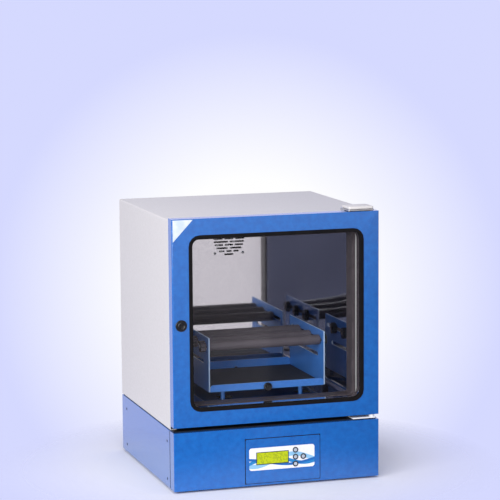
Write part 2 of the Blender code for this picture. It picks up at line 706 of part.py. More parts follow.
def belt_loop(extra):
    """The outline of a belt round both pulleys, this far outside their treads."""
    big, small = DRIVE_PULLEY_RADIUS + extra, MOTOR_PULLEY_RADIUS + extra
    y_big, y_small = depth(DRIVE_CRANK_DEPTH), depth(MOTOR_DEPTH)
    lean = math.asin((big - small) / (y_small - y_big))
    around = math.pi + 2 * lean
    points = []
    for i in range(21):
        angle = math.pi - lean + around * i / 20
        points.append((big * math.cos(angle), y_big + big * math.sin(angle)))
    for i in range(13):
        angle = 2 * math.pi + lean + (math.pi - 2 * lean) * i / 12
        points.append((small * math.cos(angle), y_small + small * math.sin(angle)))
    return points


def make_belt():
    middle = rise(PULLEY_RISE) + PULLEY_WIDTH / 2
    loops = [belt_loop(GAP + BELT_THICK), belt_loop(GAP)]
    return prism("drive_belt", loops, "Z", middle - BELT_WIDTH / 2, middle + BELT_WIDTH / 2, BLACK_RUBBER)


# Cabinet
WRAPPER_FLANGE = 0.015
FRAME_BOTTOM_RISE = 0.008
CAVITY_HALF_WIDTH = 0.160
CAVITY_DEPTHS = (0.072, 0.368)
FLOOR_INSULATION = 0.024
FAN_Z = CHAMBER_TOP - FAN_DROP
POCKET_RADIUS = 0.062
FAN_PLATE_DEPTH = 0.410
FAN_PLATE_HALF = 0.043
FAN_PLATE_THICK = 0.002
FAN_MOTOR_RADIUS = 0.030
FAN_MOTOR_LENGTH = 0.045
FAN_POST_RADIUS = 0.003
IMPELLER_RADIUS = 0.035
IMPELLER_DEPTHS = (0.386, 0.402)
HUB_RADIUS = 0.012
BLADES = 7
BLADE_THICK = 0.0018
HEATER_RADIUS = 0.042
HEATER_TUBE = 0.003
HEATER_LEG_RADIUS = 0.002
HEATER_LEG_SPACING = 0.012
PROBE_RADIUS = 0.0025
PROBE_LENGTH = 0.0487
PROBE_INSET = 0.006
POCKET_CLEARANCE = 0.001
TOP_CORNERS = (0, 0, BEND_RADIUS, BEND_RADIUS)


def make_cabinet_floor():
    x, y0, y1 = HALF - CABINET_FLOOR_INSET, depth(0.012), BACK - SHEET - 2 * GAP
    holes = [circle(cx, depth(d), BOSS_RADIUS + 2 * GAP, 16) for cx, d in CRANKS.values()]
    return prism("cabinet_floor", [rounded(-x, y0, x, y1, 0), *holes], "Z", BASE_TOP + GAP,
                 BASE_TOP + GAP + CABINET_FLOOR_THICK, BLACK_PLASTIC)


def make_cabinet_wrapper():
    """The top and sides, folded from one sheet, with flanges that stand on the cabinet floor."""
    wall = HALF - SHEET
    flange, low, high = HALF - WRAPPER_FLANGE, CABINET_BOTTOM, CABINET_TOP
    outer = rounded(-HALF, low, HALF, high, (0, 0, BEND_RADIUS, BEND_RADIUS), 3)
    inner = rounded(-wall, low + SHEET, wall, high - SHEET, (0, 0, BEND_RADIUS - SHEET, BEND_RADIUS - SHEET), 3)
    outline = [(flange, low)] + outer[1:] + [(-HALF, low), (-flange, low), (-flange, low + SHEET)]
    outline += [inner[0]] + inner[:1:-1] + [inner[1], (flange, low + SHEET)]
    return prism("cabinet_wrapper", [outline], "Y", depth(CABINET_FRONT_DEPTH), BACK, CREAM_PAINT)


def make_cabinet_back():
    x = HALF - SHEET - GAP
    loop = rounded(-x, CABINET_BOTTOM + SHEET + GAP, x, CABINET_TOP - SHEET - GAP, TOP_CORNERS, 3)
    vents = vent_rows(0, FAN_Z, 7, VENT_SLOT[1])
    return prism("cabinet_back_panel", [loop, *vents], "Y", BACK - SHEET, BACK, CREAM_PAINT, smooth=False)


def make_front_frame():
    """The cabinet's front face, with the chamber opening."""
    x, z0, z1 = HALF - SHEET - GAP, CABINET_BOTTOM + FRAME_BOTTOM_RISE, CABINET_TOP - SHEET - GAP
    half = CHAMBER_WIDTH / 2
    opening = rounded(-half, CHAMBER_FLOOR, half, CHAMBER_TOP, COLLAR_CORNER, 4)
    front = depth(CABINET_FRONT_DEPTH)
    return prism("front_frame", [rounded(-x, z0, x, z1, TOP_CORNERS, 3), opening], "Y", front,
                 front + SHEET, CREAM_PAINT)


COLLAR_CORNER = 0.010
COLLAR_FLANGE = 0.006


def make_front_collar():
    """The moulded collar that lines the mouth of the chamber and covers the front frame's edge."""
    half, low, high = CHAMBER_WIDTH / 2 - GAP, CHAMBER_FLOOR + GAP, CHAMBER_TOP - GAP
    wall = COLLAR_WALL
    inner = rounded(-half + wall, low + wall, half - wall, high - wall, COLLAR_CORNER - wall, 4)
    outer = rounded(-half, low, half, high, COLLAR_CORNER, 4)
    front = depth(CABINET_FRONT_DEPTH) - GAP
    collar = prism("front_collar", [outer, inner], "Y", front - SHEET / 2, front + COLLAR_LENGTH, SILICONE)
    reach = COLLAR_FLANGE
    flange_loop = rounded(-half - reach, low - reach, half + reach, high + reach, COLLAR_CORNER + reach, 4)
    flange = prism("flange", [flange_loop, inner], "Y", front - SHEET, front)
    return join(collar, flange)


def grille_loops():
    """Horizontal slots inside a circle, cut up by ribs that stand in a staggered pattern."""
    rows = int(FAN_RADIUS / GRILLE_PITCH)
    rib = 0.003
    for row in range(-rows, rows + 1):
        z = FAN_Z + row * GRILLE_PITCH
        reach = math.sqrt(FAN_RADIUS ** 2 - (row * GRILLE_PITCH) ** 2)
        shares = {0: (-1, -0.33, 0.33, 1), 1: (-1, 0, 1)}[row % 2] if abs(row) < rows else (-1, 1)
        for left, right in zip(shares, shares[1:]):
            yield slot(left * reach + rib / 2, right * reach - rib / 2, z, GRILLE_SLOT / 2, 2)


def make_chamber_liner():
    """The polished box, open at the front, with four round holes for the posts and the fan grille."""
    half, front, back = CHAMBER_WIDTH / 2, depth(CABINET_FRONT_DEPTH) + SHEET + GAP, depth(CHAMBER_BACK_DEPTH)
    wall = LINER_SHEET
    liner = prism("chamber_liner", [rounded(-half - wall, CHAMBER_FLOOR - wall, half + wall, CHAMBER_TOP + wall,
                                            COLLAR_CORNER + wall, 4)], "Y", front, back + wall, POLISHED)
    space = prism("space", [rounded(-half, CHAMBER_FLOOR, half, CHAMBER_TOP, COLLAR_CORNER, 4)], "Y",
                  front - 0.01, back)
    slots = [prism("slot", [loop], "Y", back - 0.005, back + 0.01) for loop in grille_loops()]
    cut(liner, space, *post_holes(CHAMBER_FLOOR - 0.01, CHAMBER_FLOOR + 0.003))
    return cut(liner, *slots)


def post_holes(low, high):
    """Square holes with round corners that leave each post its whole orbit, which starts at the rear."""
    half = POST_RADIUS + ORBIT_RADIUS + POST_CLEARANCE
    holes = []
    for x, y in post_places():
        middle = y - ORBIT_RADIUS
        loop = rounded(x - half, middle - half, x + half, middle + half, POST_HOLE_CORNER, 2)
        holes.append(prism("post_hole", [loop], "Z", low, high))
    return holes


def make_insulation():
    """The wool jacket between liner and wrapper, cut out for the drive, the fan and the hinge."""
    x, front, back = HALF - SHEET - POCKET_CLEARANCE, depth(CABINET_FRONT_DEPTH) + 0.006, BACK - SHEET - GAP
    low, high = CABINET_BOTTOM + SHEET + GAP, CABINET_TOP - SHEET - POCKET_CLEARANCE
    half = CHAMBER_WIDTH / 2 + LINER_SHEET + GAP
    wool = box("insulation", (-x, front, low), (x, back, high), WOOL)
    space = prism("space", [rounded(-half, CHAMBER_FLOOR - LINER_SHEET - GAP, half, CHAMBER_TOP + LINER_SHEET + GAP,
                                    COLLAR_CORNER, 4)], "Y", front - 0.01,
                  depth(CHAMBER_BACK_DEPTH) + LINER_SHEET + GAP)
    d0, d1 = CAVITY_DEPTHS
    cavity = box("cavity", (-CAVITY_HALF_WIDTH, depth(d0), low - 0.01),
                 (CAVITY_HALF_WIDTH, depth(d1), CHAMBER_FLOOR - FLOOR_INSULATION))
    fan = prism("fan_pocket", [circle(0, FAN_Z, POCKET_RADIUS, 28)], "Y", depth(CHAMBER_BACK_DEPTH), BACK + 0.01)
    hinge = box("hinge_pocket", (HALF - 0.070, front - 0.01, low - 0.01), (HALF, depth(0.070), low + 0.008))
    holes = post_holes(CHAMBER_FLOOR - FLOOR_INSULATION - 0.01, CHAMBER_FLOOR)
    cut(wool, space, cavity)
    return cut(wool, fan, hinge, *holes)


def make_fan():
    """The fan motor on four posts behind the grille, its impeller, the ring heater and the probe."""
    wall = depth(CHAMBER_BACK_DEPTH) + LINER_SHEET + GAP
    plate = depth(FAN_PLATE_DEPTH)
    half, spacing = FAN_PLATE_HALF, FAN_SCREW_SPACING / 2
    motor = prism("fan_motor", [rounded(-half, FAN_Z - half, half, FAN_Z + half, 0.006, 2),
                                circle(0, FAN_Z, 0.006, 12)], "Y", plate, plate + FAN_PLATE_THICK, ZINC)
    can = prism("can", [circle(0, FAN_Z, FAN_MOTOR_RADIUS, 24)], "Y", plate + FAN_PLATE_THICK / 2,
                plate + FAN_MOTOR_LENGTH)
    posts = [prism("post", [circle(sx * spacing, FAN_Z + sz * spacing, FAN_POST_RADIUS, 8)], "Y", wall,
                   plate + 0.001) for sx in (-1, 1) for sz in (-1, 1)]
    join(motor, can, *posts)
    bore = prism("bore", [circle(0, FAN_Z, 0.0034, 12)], "Y", plate - 0.01, plate + 0.020)
    cut(motor, bore)
    near, far = (depth(d) for d in IMPELLER_DEPTHS)
    impeller = turned("fan_impeller", [(0, near), (HUB_RADIUS, near), (HUB_RADIUS, far), (0.003, far + 0.002),
                                       (0.003, plate + 0.015), (0, plate + 0.015)], (0, 0, 0), "Y", ALUMINIUM, 20)
    impeller.data.transform(Matrix.Translation((0, 0, FAN_Z)))
    blades = []
    for i in range(BLADES):
        blade = box("blade", (HUB_RADIUS - 0.003, -BLADE_THICK / 2, -(far - near) / 2 + 0.001),
                    (IMPELLER_RADIUS, BLADE_THICK / 2, (far - near) / 2 - 0.001))
        lean = Matrix.Rotation(math.radians(90), 4, "X") @ Matrix.Rotation(math.radians(32), 4, "X")
        place = Matrix.Translation((0, (near + far) / 2, FAN_Z))
        blade.data.transform(place @ Matrix.Rotation(i * 2 * math.pi / BLADES, 4, "Y") @ lean)
        blades.append(blade)
    axis = (0, (near + far) / 2, FAN_Z)
    shift_origin(impeller, axis)
    join(impeller, *blades)
    middle = (near + far) / 2
    ring = [(HEATER_RADIUS + HEATER_TUBE * math.cos(a), middle + HEATER_TUBE * math.sin(a))
            for a in (2 * math.pi * i / 6 for i in range(6))]
    heater = turned("ring_heater", ring, (0, 0, FAN_Z), "Y", ZINC, 24)
    legs = [prism("leg", [circle(side * HEATER_LEG_SPACING / 2, FAN_Z + HEATER_RADIUS - HEATER_TUBE / 6,
                                 HEATER_LEG_RADIUS, 8)], "Y", middle, plate - GAP) for side in (-1, 1)]
    join(heater, *legs)
    z = FAN_Z - POCKET_RADIUS + PROBE_INSET
    prism("temperature_probe", [circle(0, z, PROBE_RADIUS, 10)], "Y", wall, wall + PROBE_LENGTH, ZINC)


make_drive_plate()
make_cranks()
make_shaker_table()
make_motor()
make_motor_pulley()
make_belt()
make_cabinet_floor()
make_cabinet_wrapper()
make_cabinet_back()
make_front_frame()
make_front_collar()
make_chamber_liner()
make_insulation()
make_fan()


# Door, window, hinges and latch
WINDOW_BOTTOM = DOOR_BOTTOM + GASKET_RISE
GLASS_INSET = SKIN_OPENING_INSET + GASKET_WALL + 2 * GAP
REVEAL_INSET = GASKET_LIP - 0.0008
HINGE_RELIEF = 0.0075
HINGE_X = HALF - HINGE_INSET
HINGE_Y = FRONT + HINGE_DEPTH
PIN_REACH = 0.012
TOP_PLATE_LIFT = 0.0015
SEAL_START, SEAL_WIDTH = 0.012, 0.010
BEZEL_PROUD = 0.003
KNOB_FIT_RADIUS = 0.009
LATCH_SHAFT_RADIUS = 0.004
STRIKE_THICK = 0.0013
STRIKE_CLEARANCE = 0.0007
STRIKE_HALF_HEIGHT = 0.012


def window_loop(inset, steps=4):
    """The window's outline this far inside the gasket's outer edge."""
    half = GASKET_WIDTH / 2 - inset
    return rounded(GASKET_SHIFT - half, WINDOW_BOTTOM + inset, GASKET_SHIFT + half,
                   DOOR_TOP - GASKET_DROP - inset, GASKET_RADIUS - inset, steps)


def chamber_loop(grow, steps=3):
    half = CHAMBER_WIDTH / 2 + grow
    return rounded(-half, CHAMBER_FLOOR - grow, half, CHAMBER_TOP + grow, COLLAR_CORNER + grow, steps)


def swept(name, profile, loop_at, material):
    """A ring with a constant section. profile lists (offset of the loop, world Y) and is closed."""
    bm = bmesh.new()
    rings = [[bm.verts.new((x, y, z)) for x, z in loop_at(offset)] for offset, y in profile]
    for ring, after in zip(rings, rings[1:] + rings[:1]):
        for i in range(len(ring)):
            j = (i + 1) % len(ring)
            bm.faces.new((ring[i], ring[j], after[j], after[i]))
    return make_object(name, bm, material)


def make_door_skin():
    """The folded front of the door: a shallow tray with the window opening, relieved at its hinge corner."""
    outline = rounded(-HALF, FRONT, HALF, depth(DOOR_THICK), (BEND_RADIUS, BEND_RADIUS, 0, 0), 3)
    skin = prism("door_skin", [outline], "Z", DOOR_BOTTOM, DOOR_TOP, BLUE_PAINT)
    hollow = box("hollow", (-HALF + SHEET, FRONT + SHEET, DOOR_BOTTOM + SHEET),
                 (HALF - SHEET, depth(DOOR_THICK) + 0.01, DOOR_TOP - SHEET))
    relief = box("relief", (HALF - HINGE_RELIEF, depth(DOOR_HINGE_RETURN), DOOR_BOTTOM - 0.01),
                 (HALF + 0.01, depth(DOOR_THICK) + 0.01, DOOR_TOP + 0.01))
    window = prism("window", [window_loop(SKIN_OPENING_INSET)], "Y", FRONT - 0.01, FRONT + 0.01)
    latch = prism("latch_hole", [circle(LATCH_X, LATCH_Z, LATCH_RADIUS - 0.0025, 20)], "Y", FRONT - 0.01, FRONT + 0.01)
    pin = prism("pin_hole", [circle(HINGE_X, HINGE_Y, HINGE_PIN_RADIUS + RUNNING_GAP, 16)], "Z",
                DOOR_BOTTOM - 0.01, DOOR_TOP + 0.01)
    cut(skin, hollow)
    cut(skin, relief, window, latch, pin)
    return shift_origin(skin, (HINGE_X, HINGE_Y, DOOR_BOTTOM))


def make_door_inner_frame():
    """The inner face of the door and the reveal round the window."""
    x, back = HALF - SHEET - GAP, depth(DOOR_INNER_PLANE)
    outer = rounded(-x, DOOR_BOTTOM + SHEET + GAP, x, DOOR_TOP - SHEET - GAP, 0)
    shaft = circle(LATCH_X, LATCH_Z, LATCH_SHAFT_RADIUS + RUNNING_GAP, 12)
    plate = prism("door_inner_frame", [outer, window_loop(REVEAL_INSET + SHEET / 2), shaft], "Y", back - SHEET,
                  back, WHITE_PAINT)
    front = FRONT + GLASS_THICK + GASKET_PROUD + 2 * GAP
    reveal = swept("reveal", [(REVEAL_INSET, front), (REVEAL_INSET + SHEET, front),
                              (REVEAL_INSET + SHEET, back), (REVEAL_INSET, back)], window_loop, None)
    return join(plate, reveal)


def make_glazing():
    """The outer pane in its gasket and the inner pane in the reveal."""
    prism("outer_glass", [window_loop(GLASS_INSET)], "Y", FRONT, FRONT + GLASS_THICK, GLASS)
    near = depth(INNER_GLASS_DEPTH)
    prism("inner_glass", [window_loop(REVEAL_INSET + SHEET + GAP)], "Y", near, near + GLASS_THICK - 0.001, GLASS)


def make_window_gasket():
    """The rubber gasket: a lip over the edge of skin and pane, a web between them and a lip behind the pane."""
    lip, web = FRONT - GASKET_PROUD, SKIN_OPENING_INSET + GAP
    back = FRONT + GLASS_THICK + GAP
    profile = [(0.0, FRONT - GAP), (0.0012, lip), (GASKET_LIP - 0.0012, lip), (GASKET_LIP, FRONT - GAP),
               (web + GASKET_WALL, FRONT - GAP), (web + GASKET_WALL, back), (GASKET_LIP, back),
               (GASKET_LIP, back + 0.0015), (web, back + 0.0015), (web, FRONT - GAP)]
    return swept("window_gasket", profile, window_loop, BLACK_RUBBER)


def make_door_seal():
    near, far = depth(DOOR_INNER_PLANE) + GAP, depth(CABINET_FRONT_DEPTH) - GAP
    outer = SEAL_START + SEAL_WIDTH
    profile = [(SEAL_START, near), (SEAL_START + 0.002, far), (outer - 0.002, far), (outer, near)]
    return swept("door_seal", profile, chamber_loop, SILICONE)


def make_latch():
    """A quarter-turn latch: a bezel in the skin, a dished knob with shaft and cam, and the strike."""
    bore = KNOB_FIT_RADIUS + RUNNING_GAP
    barrel = LATCH_RADIUS - 0.0025 - GAP
    profile = [(bore, FRONT - BEZEL_PROUD), (LATCH_RADIUS - 0.0015, FRONT - BEZEL_PROUD),
               (LATCH_RADIUS, FRONT - BEZEL_PROUD / 2), (LATCH_RADIUS, FRONT - GAP), (barrel, FRONT - GAP),
               (barrel, FRONT + 0.012), (bore, FRONT + 0.012)]
    centre = (LATCH_X, 0, LATCH_Z)
    turned("latch_bezel", profile, centre, "Y", BLACK_PLASTIC, 24)
    cam_near = depth(CAM_DEPTH)
    face, dish = FRONT - LATCH_PROUD, FRONT - LATCH_PROUD + 0.0015
    radius, shaft = KNOB_FIT_RADIUS, LATCH_SHAFT_RADIUS
    knob = turned("latch_knob", [(0, dish), (radius - 0.004, dish), (radius - 0.0015, face), (radius, face + 0.001),
                                 (radius, FRONT + 0.010), (shaft, FRONT + 0.010), (shaft, cam_near + 0.001),
                                 (0, cam_near + 0.001)], centre, "Y", BLACK_PLASTIC, 24)
    half = CAM_WIDTH / 2
    cam = prism("cam", [rounded(LATCH_X - half, LATCH_Z - CAM_LENGTH, LATCH_X + half, LATCH_Z + half, 0.002, 1)],
                "Y", cam_near, cam_near + CAM_THICK)
    grip = box("grip", (LATCH_X - 0.0012, face + 0.0002, LATCH_Z - 0.006), (LATCH_X + 0.0012, dish + 0.001, LATCH_Z + 0.006))
    shift_origin(knob, (LATCH_X, FRONT, LATCH_Z))
    join(knob, cam, grip)
    make_strike(cam_near, cam_near + CAM_THICK)


def make_strike(cam_near, cam_far):
    """A channel on the cabinet's front frame, open towards the latch: the cam turns in behind its lip."""
    inside = LATCH_X - CAM_LENGTH - STRIKE_CLEARANCE
    outside = inside - STRIKE_THICK
    lip, base = LATCH_X - CAM_WIDTH / 2 - STRIKE_CLEARANCE * 3, LATCH_X - CAM_WIDTH / 2
    front, back = cam_near - STRIKE_CLEARANCE - STRIKE_THICK, depth(CABINET_FRONT_DEPTH) - GAP
    outline = [(outside, front), (lip, front), (lip, front + STRIKE_THICK), (inside, front + STRIKE_THICK),
               (inside, cam_far + STRIKE_CLEARANCE), (base, cam_far + STRIKE_CLEARANCE), (base, back), (outside, back)]
    prism("latch_strike", [outline], "Z", LATCH_Z - STRIKE_HALF_HEIGHT, LATCH_Z + STRIKE_HALF_HEIGHT, ZINC,
          smooth=False)


def make_hinges():
    """The top bracket stands on the cabinet and reaches over the door, and the bottom one reaches under it."""
    x1 = HINGE_X + HINGE_PIN_RADIUS + 0.0015
    x0 = x1 - HINGE_WIDTH
    near, far = (depth(d) for d in HINGE_DEPTHS)
    under = DOOR_TOP + TOP_PLATE_LIFT
    top = under + HINGE_PLATE
    plate = prism("hinge_top_bracket", [rounded(x0, near, x1, far, 0.003, 3)], "Z", under, top, ZINC)
    foot = box("foot", (x0, depth(CABINET_FRONT_DEPTH) + GAP, CABINET_TOP + GAP), (x1, far, under + 0.001))
    pin = prism("pin", [circle(HINGE_X, HINGE_Y, HINGE_PIN_RADIUS, 16)], "Z", DOOR_TOP - PIN_REACH, top - 0.001)
    join(plate, foot, pin)
    cover = prism("hinge_top_cover", [rounded(x0 + 0.001, near + 0.001, x1 - 0.001, far - 0.004, 0.006, 4)], "Z",
                  top + GAP, top + 0.0065, CREAM_PAINT)
    edge = cover.modifiers.new("round_edges", "BEVEL")
    edge.width, edge.segments, edge.limit_method, edge.angle_limit = 0.0022, 2, "ANGLE", math.radians(60)
    low = CABINET_BOTTOM
    right, inner = HINGE_X + 0.008, HALF - WRAPPER_FLANGE - GAP
    step = depth(CABINET_FRONT_DEPTH) - GAP
    outline = [(x0 + 0.010, near), (right, near), (right, step), (inner, step), (inner, far), (x0 + 0.010, far)]
    bracket = prism("hinge_bottom_bracket", [outline], "Z", low, low + HINGE_PLATE, ZINC, smooth=False)
    washer = prism("washer", [circle(HINGE_X, HINGE_Y, 0.0065, 16)], "Z", low + 0.001, DOOR_BOTTOM - GAP)
    pin = prism("pin", [circle(HINGE_X, HINGE_Y, HINGE_PIN_RADIUS, 16)], "Z", low + 0.0015, DOOR_BOTTOM + PIN_REACH)
    join(bracket, washer, pin)


# Tray with its side plates, mat, clamp bars, knobs and thumb screws
TRAY_BOTTOM = CHAMBER_FLOOR + TRAY_RISE
TRAY_INNER = TRAY_WIDTH / 2 - TRAY_SIDE_SHEET
TRAY_FRONT, TRAY_BACK = depth(TRAY_FRONT_DEPTH), depth(TRAY_FRONT_DEPTH + TRAY_LENGTH)
SCREW_RISE = 0.0055
SCREW_SHANK = 0.0025
SCREW_HEAD_RADIUS = 0.0095
SCREW_HEAD = 0.008
WASHER_RADIUS = 0.0095
WASHER_THICK = 0.0025
LOBES = 5


def make_tray_plate():
    """The tray's floor with a lip at each end, which have round upper corners and a screw hole."""
    x0, x1 = TRAY_SHIFT - TRAY_INNER + GAP, TRAY_SHIFT + TRAY_INNER - GAP
    low = TRAY_BOTTOM
    plate = box("tray_plate", (x0, TRAY_FRONT + 0.0005, low), (x1, TRAY_BACK - 0.0005, low + TRAY_SHEET), BLUE_PAINT)
    hole = circle(TRAY_SHIFT, low + SCREW_RISE, SCREW_SHANK + RUNNING_GAP, 12)
    lips = []
    for y, height in ((TRAY_FRONT, TRAY_FRONT_LIP), (TRAY_BACK - TRAY_SHEET, TRAY_REAR_LIP)):
        outline = rounded(x0, low - 0.00005, x1, low + height, (0, 0, 0.008, 0.008), 4)
        lips.append(prism("lip", [outline, hole], "Y", y, y + TRAY_SHEET))
    return join(plate, *lips)


def make_tray_sides():
    """Two upright plates with a long upper slot for the bars and a shorter one below it."""
    for name, low_x in (("tray_side_left", TRAY_SHIFT - TRAY_WIDTH / 2), ("tray_side_right", TRAY_SHIFT + TRAY_INNER)):
        half = BAR_ROD_RADIUS + SLOT_CLEARANCE
        outline = rounded(TRAY_FRONT, TRAY_BOTTOM, TRAY_BACK, TRAY_BOTTOM + TRAY_SIDE_HEIGHT, 0.002, 2)
        upper = slot(depth(BAR_SLOT[0]), depth(BAR_SLOT[1]), TRAY_BOTTOM + BAR_RISE, half, 6)
        lower = slot(depth(LOWER_SLOT[0]), depth(LOWER_SLOT[1]), TRAY_BOTTOM + LOWER_SLOT_RISE, half, 6)
        prism(name, [outline, upper, lower], "X", low_x, low_x + TRAY_SIDE_SHEET, BLUE_PAINT)


def make_mat():
    reach = TRAY_INNER - 0.0015
    low = TRAY_BOTTOM + TRAY_SHEET + GAP
    loop = rounded(TRAY_SHIFT - reach, TRAY_FRONT + 0.008, TRAY_SHIFT + reach, TRAY_BACK - 0.008, 0.002, 1)
    return prism("tray_mat", [loop], "Z", low, low + MAT_THICK, BLACK_RUBBER)


def star(u, v, radius):
    """The outline of a knob with round lobes."""
    turn = 2 * math.pi / (LOBES * 4)
    return [(u + radius * (0.90 + 0.10 * math.cos(LOBES * i * turn)) * math.cos(i * turn),
             v + radius * (0.90 + 0.10 * math.cos(LOBES * i * turn)) * math.sin(i * turn)) for i in range(LOBES * 4)]


def make_bars():
    """Each bar is a rod through both slots, with a sleeve, two washers and a fixed head; its knob is separate."""
    left, right = TRAY_SHIFT - TRAY_WIDTH / 2, TRAY_SHIFT + TRAY_WIDTH / 2
    z = TRAY_BOTTOM + BAR_RISE
    inner = TRAY_INNER - GAP
    rod_end = right + GAP + KNOB_THICK + 0.002
    for name, d in zip(("front", "middle", "rear"), BAR_DEPTHS):
        y = depth(d)
        sleeve_end = inner - WASHER_THICK
        low, high = TRAY_SHIFT - inner, TRAY_SHIFT + inner
        profile = [(0, left - 0.001), (BAR_ROD_RADIUS, left - 0.001), (BAR_ROD_RADIUS, low), (WASHER_RADIUS, low),
                   (WASHER_RADIUS, TRAY_SHIFT - sleeve_end), (BAR_SLEEVE_RADIUS, TRAY_SHIFT - sleeve_end),
                   (BAR_SLEEVE_RADIUS, TRAY_SHIFT + sleeve_end), (WASHER_RADIUS, TRAY_SHIFT + sleeve_end),
                   (WASHER_RADIUS, high), (BAR_ROD_RADIUS, high), (BAR_ROD_RADIUS, rod_end), (0, rod_end)]
        bar = turned(f"clamp_bar_{name}", profile, (0, y, z), "X", GREY_RUBBER, 16)
        head = prism("head", [star(y, z, KNOB_RADIUS)], "X", left - GAP - KNOB_THICK, left - GAP)
        join(bar, head)
        bore = circle(y, z, BAR_ROD_RADIUS + RUNNING_GAP, 12)
        prism(f"star_knob_{name}", [star(y, z, KNOB_RADIUS), bore], "X", right + GAP, right + GAP + KNOB_THICK,
              BLACK_PLASTIC)


def make_thumb_screws():
    """A screw through each lip of the tray, with a thick round head outside."""
    z = TRAY_BOTTOM + SCREW_RISE
    for name, y, way in (("front", TRAY_FRONT, -1), ("rear", TRAY_BACK, 1)):
        places = [(0, GAP + SCREW_HEAD - 0.001), (SCREW_HEAD_RADIUS - 0.004, GAP + SCREW_HEAD - 0.001),
                  (SCREW_HEAD_RADIUS - 0.001, GAP + SCREW_HEAD), (SCREW_HEAD_RADIUS, GAP + SCREW_HEAD - 0.001),
                  (SCREW_HEAD_RADIUS, GAP), (SCREW_SHANK, GAP), (SCREW_SHANK, -0.005), (0, -0.005)]
        profile = [(radius, y + way * along) for radius, along in places]
        turned(f"thumb_screw_{name}", profile, (TRAY_SHIFT, 0, z), "Y", ZINC, 20)


make_door_skin()
make_door_inner_frame()
make_glazing()
make_window_gasket()
make_door_seal()
make_latch()
make_hinges()
make_tray_plate()
make_tray_sides()
make_mat()
make_bars()
make_thumb_screws()
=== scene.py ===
# %% [markdown]
# # A shaking incubator, dressed
#
# The instrument is a sheet-steel box on a blue base. Behind its glazed door a polished
# chamber holds a tray that a belt drive swings in small circles. The CAD model gives every
# panel its place, so this lesson only dresses it: bent edges, coatings, glass, small parts.

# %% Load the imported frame
import json
import math

import bmesh
import bpy
from mathutils import Matrix, Vector

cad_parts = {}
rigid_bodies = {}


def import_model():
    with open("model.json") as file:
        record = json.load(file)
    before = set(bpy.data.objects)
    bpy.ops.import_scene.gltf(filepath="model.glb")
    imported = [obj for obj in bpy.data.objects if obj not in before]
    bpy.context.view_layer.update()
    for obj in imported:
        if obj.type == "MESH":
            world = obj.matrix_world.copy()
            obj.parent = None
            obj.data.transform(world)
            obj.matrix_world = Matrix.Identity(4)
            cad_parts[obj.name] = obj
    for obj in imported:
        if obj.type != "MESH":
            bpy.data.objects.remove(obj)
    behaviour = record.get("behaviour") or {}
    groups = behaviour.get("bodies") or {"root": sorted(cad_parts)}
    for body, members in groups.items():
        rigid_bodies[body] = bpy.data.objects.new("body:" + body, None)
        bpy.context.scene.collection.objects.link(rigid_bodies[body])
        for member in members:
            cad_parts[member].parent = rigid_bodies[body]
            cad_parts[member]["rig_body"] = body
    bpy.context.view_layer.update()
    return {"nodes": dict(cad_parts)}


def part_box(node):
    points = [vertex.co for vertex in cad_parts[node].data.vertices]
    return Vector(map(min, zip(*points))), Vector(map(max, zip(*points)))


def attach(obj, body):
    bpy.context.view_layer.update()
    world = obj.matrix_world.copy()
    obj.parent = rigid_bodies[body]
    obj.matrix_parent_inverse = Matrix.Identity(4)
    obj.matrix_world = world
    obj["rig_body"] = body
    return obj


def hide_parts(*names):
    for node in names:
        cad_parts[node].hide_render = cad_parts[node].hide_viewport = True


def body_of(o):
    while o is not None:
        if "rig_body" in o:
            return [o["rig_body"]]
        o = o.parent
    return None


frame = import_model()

MM = 0.001
NODES = frame["nodes"]

# %% [markdown]
# ## Two small helpers for materials
#
# Every colour is written as an sRGB hex value, and one function turns it
# linear. A second function adds any node with its settings and links, so a material reads
# as a short list of what feeds what.

# %% Colours and nodes
def srgb(text, alpha=1.0):
    """The linear colour of a hex value such as 1467BF."""
    parts = [int(text[i:i + 2], 16) / 255 for i in (0, 2, 4)]
    return tuple(c / 12.92 if c <= 0.04045 else ((c + 0.055) / 1.055) ** 2.4 for c in parts) + (alpha,)


def add(tree, kind, inputs=None, **settings):
    """Adds a node; an input is a value, or an output that is linked to it."""
    made = tree.nodes.new(kind)
    for name, value in settings.items():
        setattr(made, name, value)
    for key, value in (inputs or {}).items():
        if isinstance(value, bpy.types.NodeSocket):
            tree.links.new(value, made.inputs[key])
        else:
            made.inputs[key].default_value = value
    return made


def start_material(name, **shader):
    """A new material with one Principled shader, whose constant inputs are set on its sockets."""
    made = bpy.data.materials.new(name)
    made.use_nodes = True
    tree = made.node_tree
    tree.nodes.clear()
    surface = add(tree, "ShaderNodeBsdfPrincipled",
                  {key.replace("_", " "): value for key, value in shader.items()})
    add(tree, "ShaderNodeOutputMaterial", {"Surface": surface.outputs["BSDF"]})
    place = add(tree, "ShaderNodeTexCoord").outputs["Object"]
    return made, tree, surface, place


def grain(tree, place, size_mm, detail=2.0, roughness=0.5):
    """Noise whose lumps are about size_mm across, as Object coordinates are metres."""
    return add(tree, "ShaderNodeTexNoise", {"Vector": place, "Scale": 1000 / size_mm,
                                            "Detail": detail, "Roughness": roughness}).outputs["Fac"]


def between(tree, factor, low, high, start=0.3, end=0.7):
    """Turns a factor into a colour that runs from low to high."""
    ramp = add(tree, "ShaderNodeValToRGB", {"Fac": factor})
    ramp.color_ramp.elements[0].position, ramp.color_ramp.elements[1].position = start, end
    ramp.color_ramp.elements[0].color, ramp.color_ramp.elements[1].color = low, high
    return ramp.outputs["Color"]


def grey(value):
    """A plain linear grey, for ramps that steer roughness or height."""
    return (value, value, value, 1.0)


def relief(tree, surface, height, depth_mm):
    """Lets a height bump the shader's normal by about depth_mm."""
    bump = add(tree, "ShaderNodeBump", {"Height": height, "Distance": depth_mm * MM, "Strength": 1.0})
    tree.links.new(bump.outputs["Normal"], surface.inputs["Normal"])


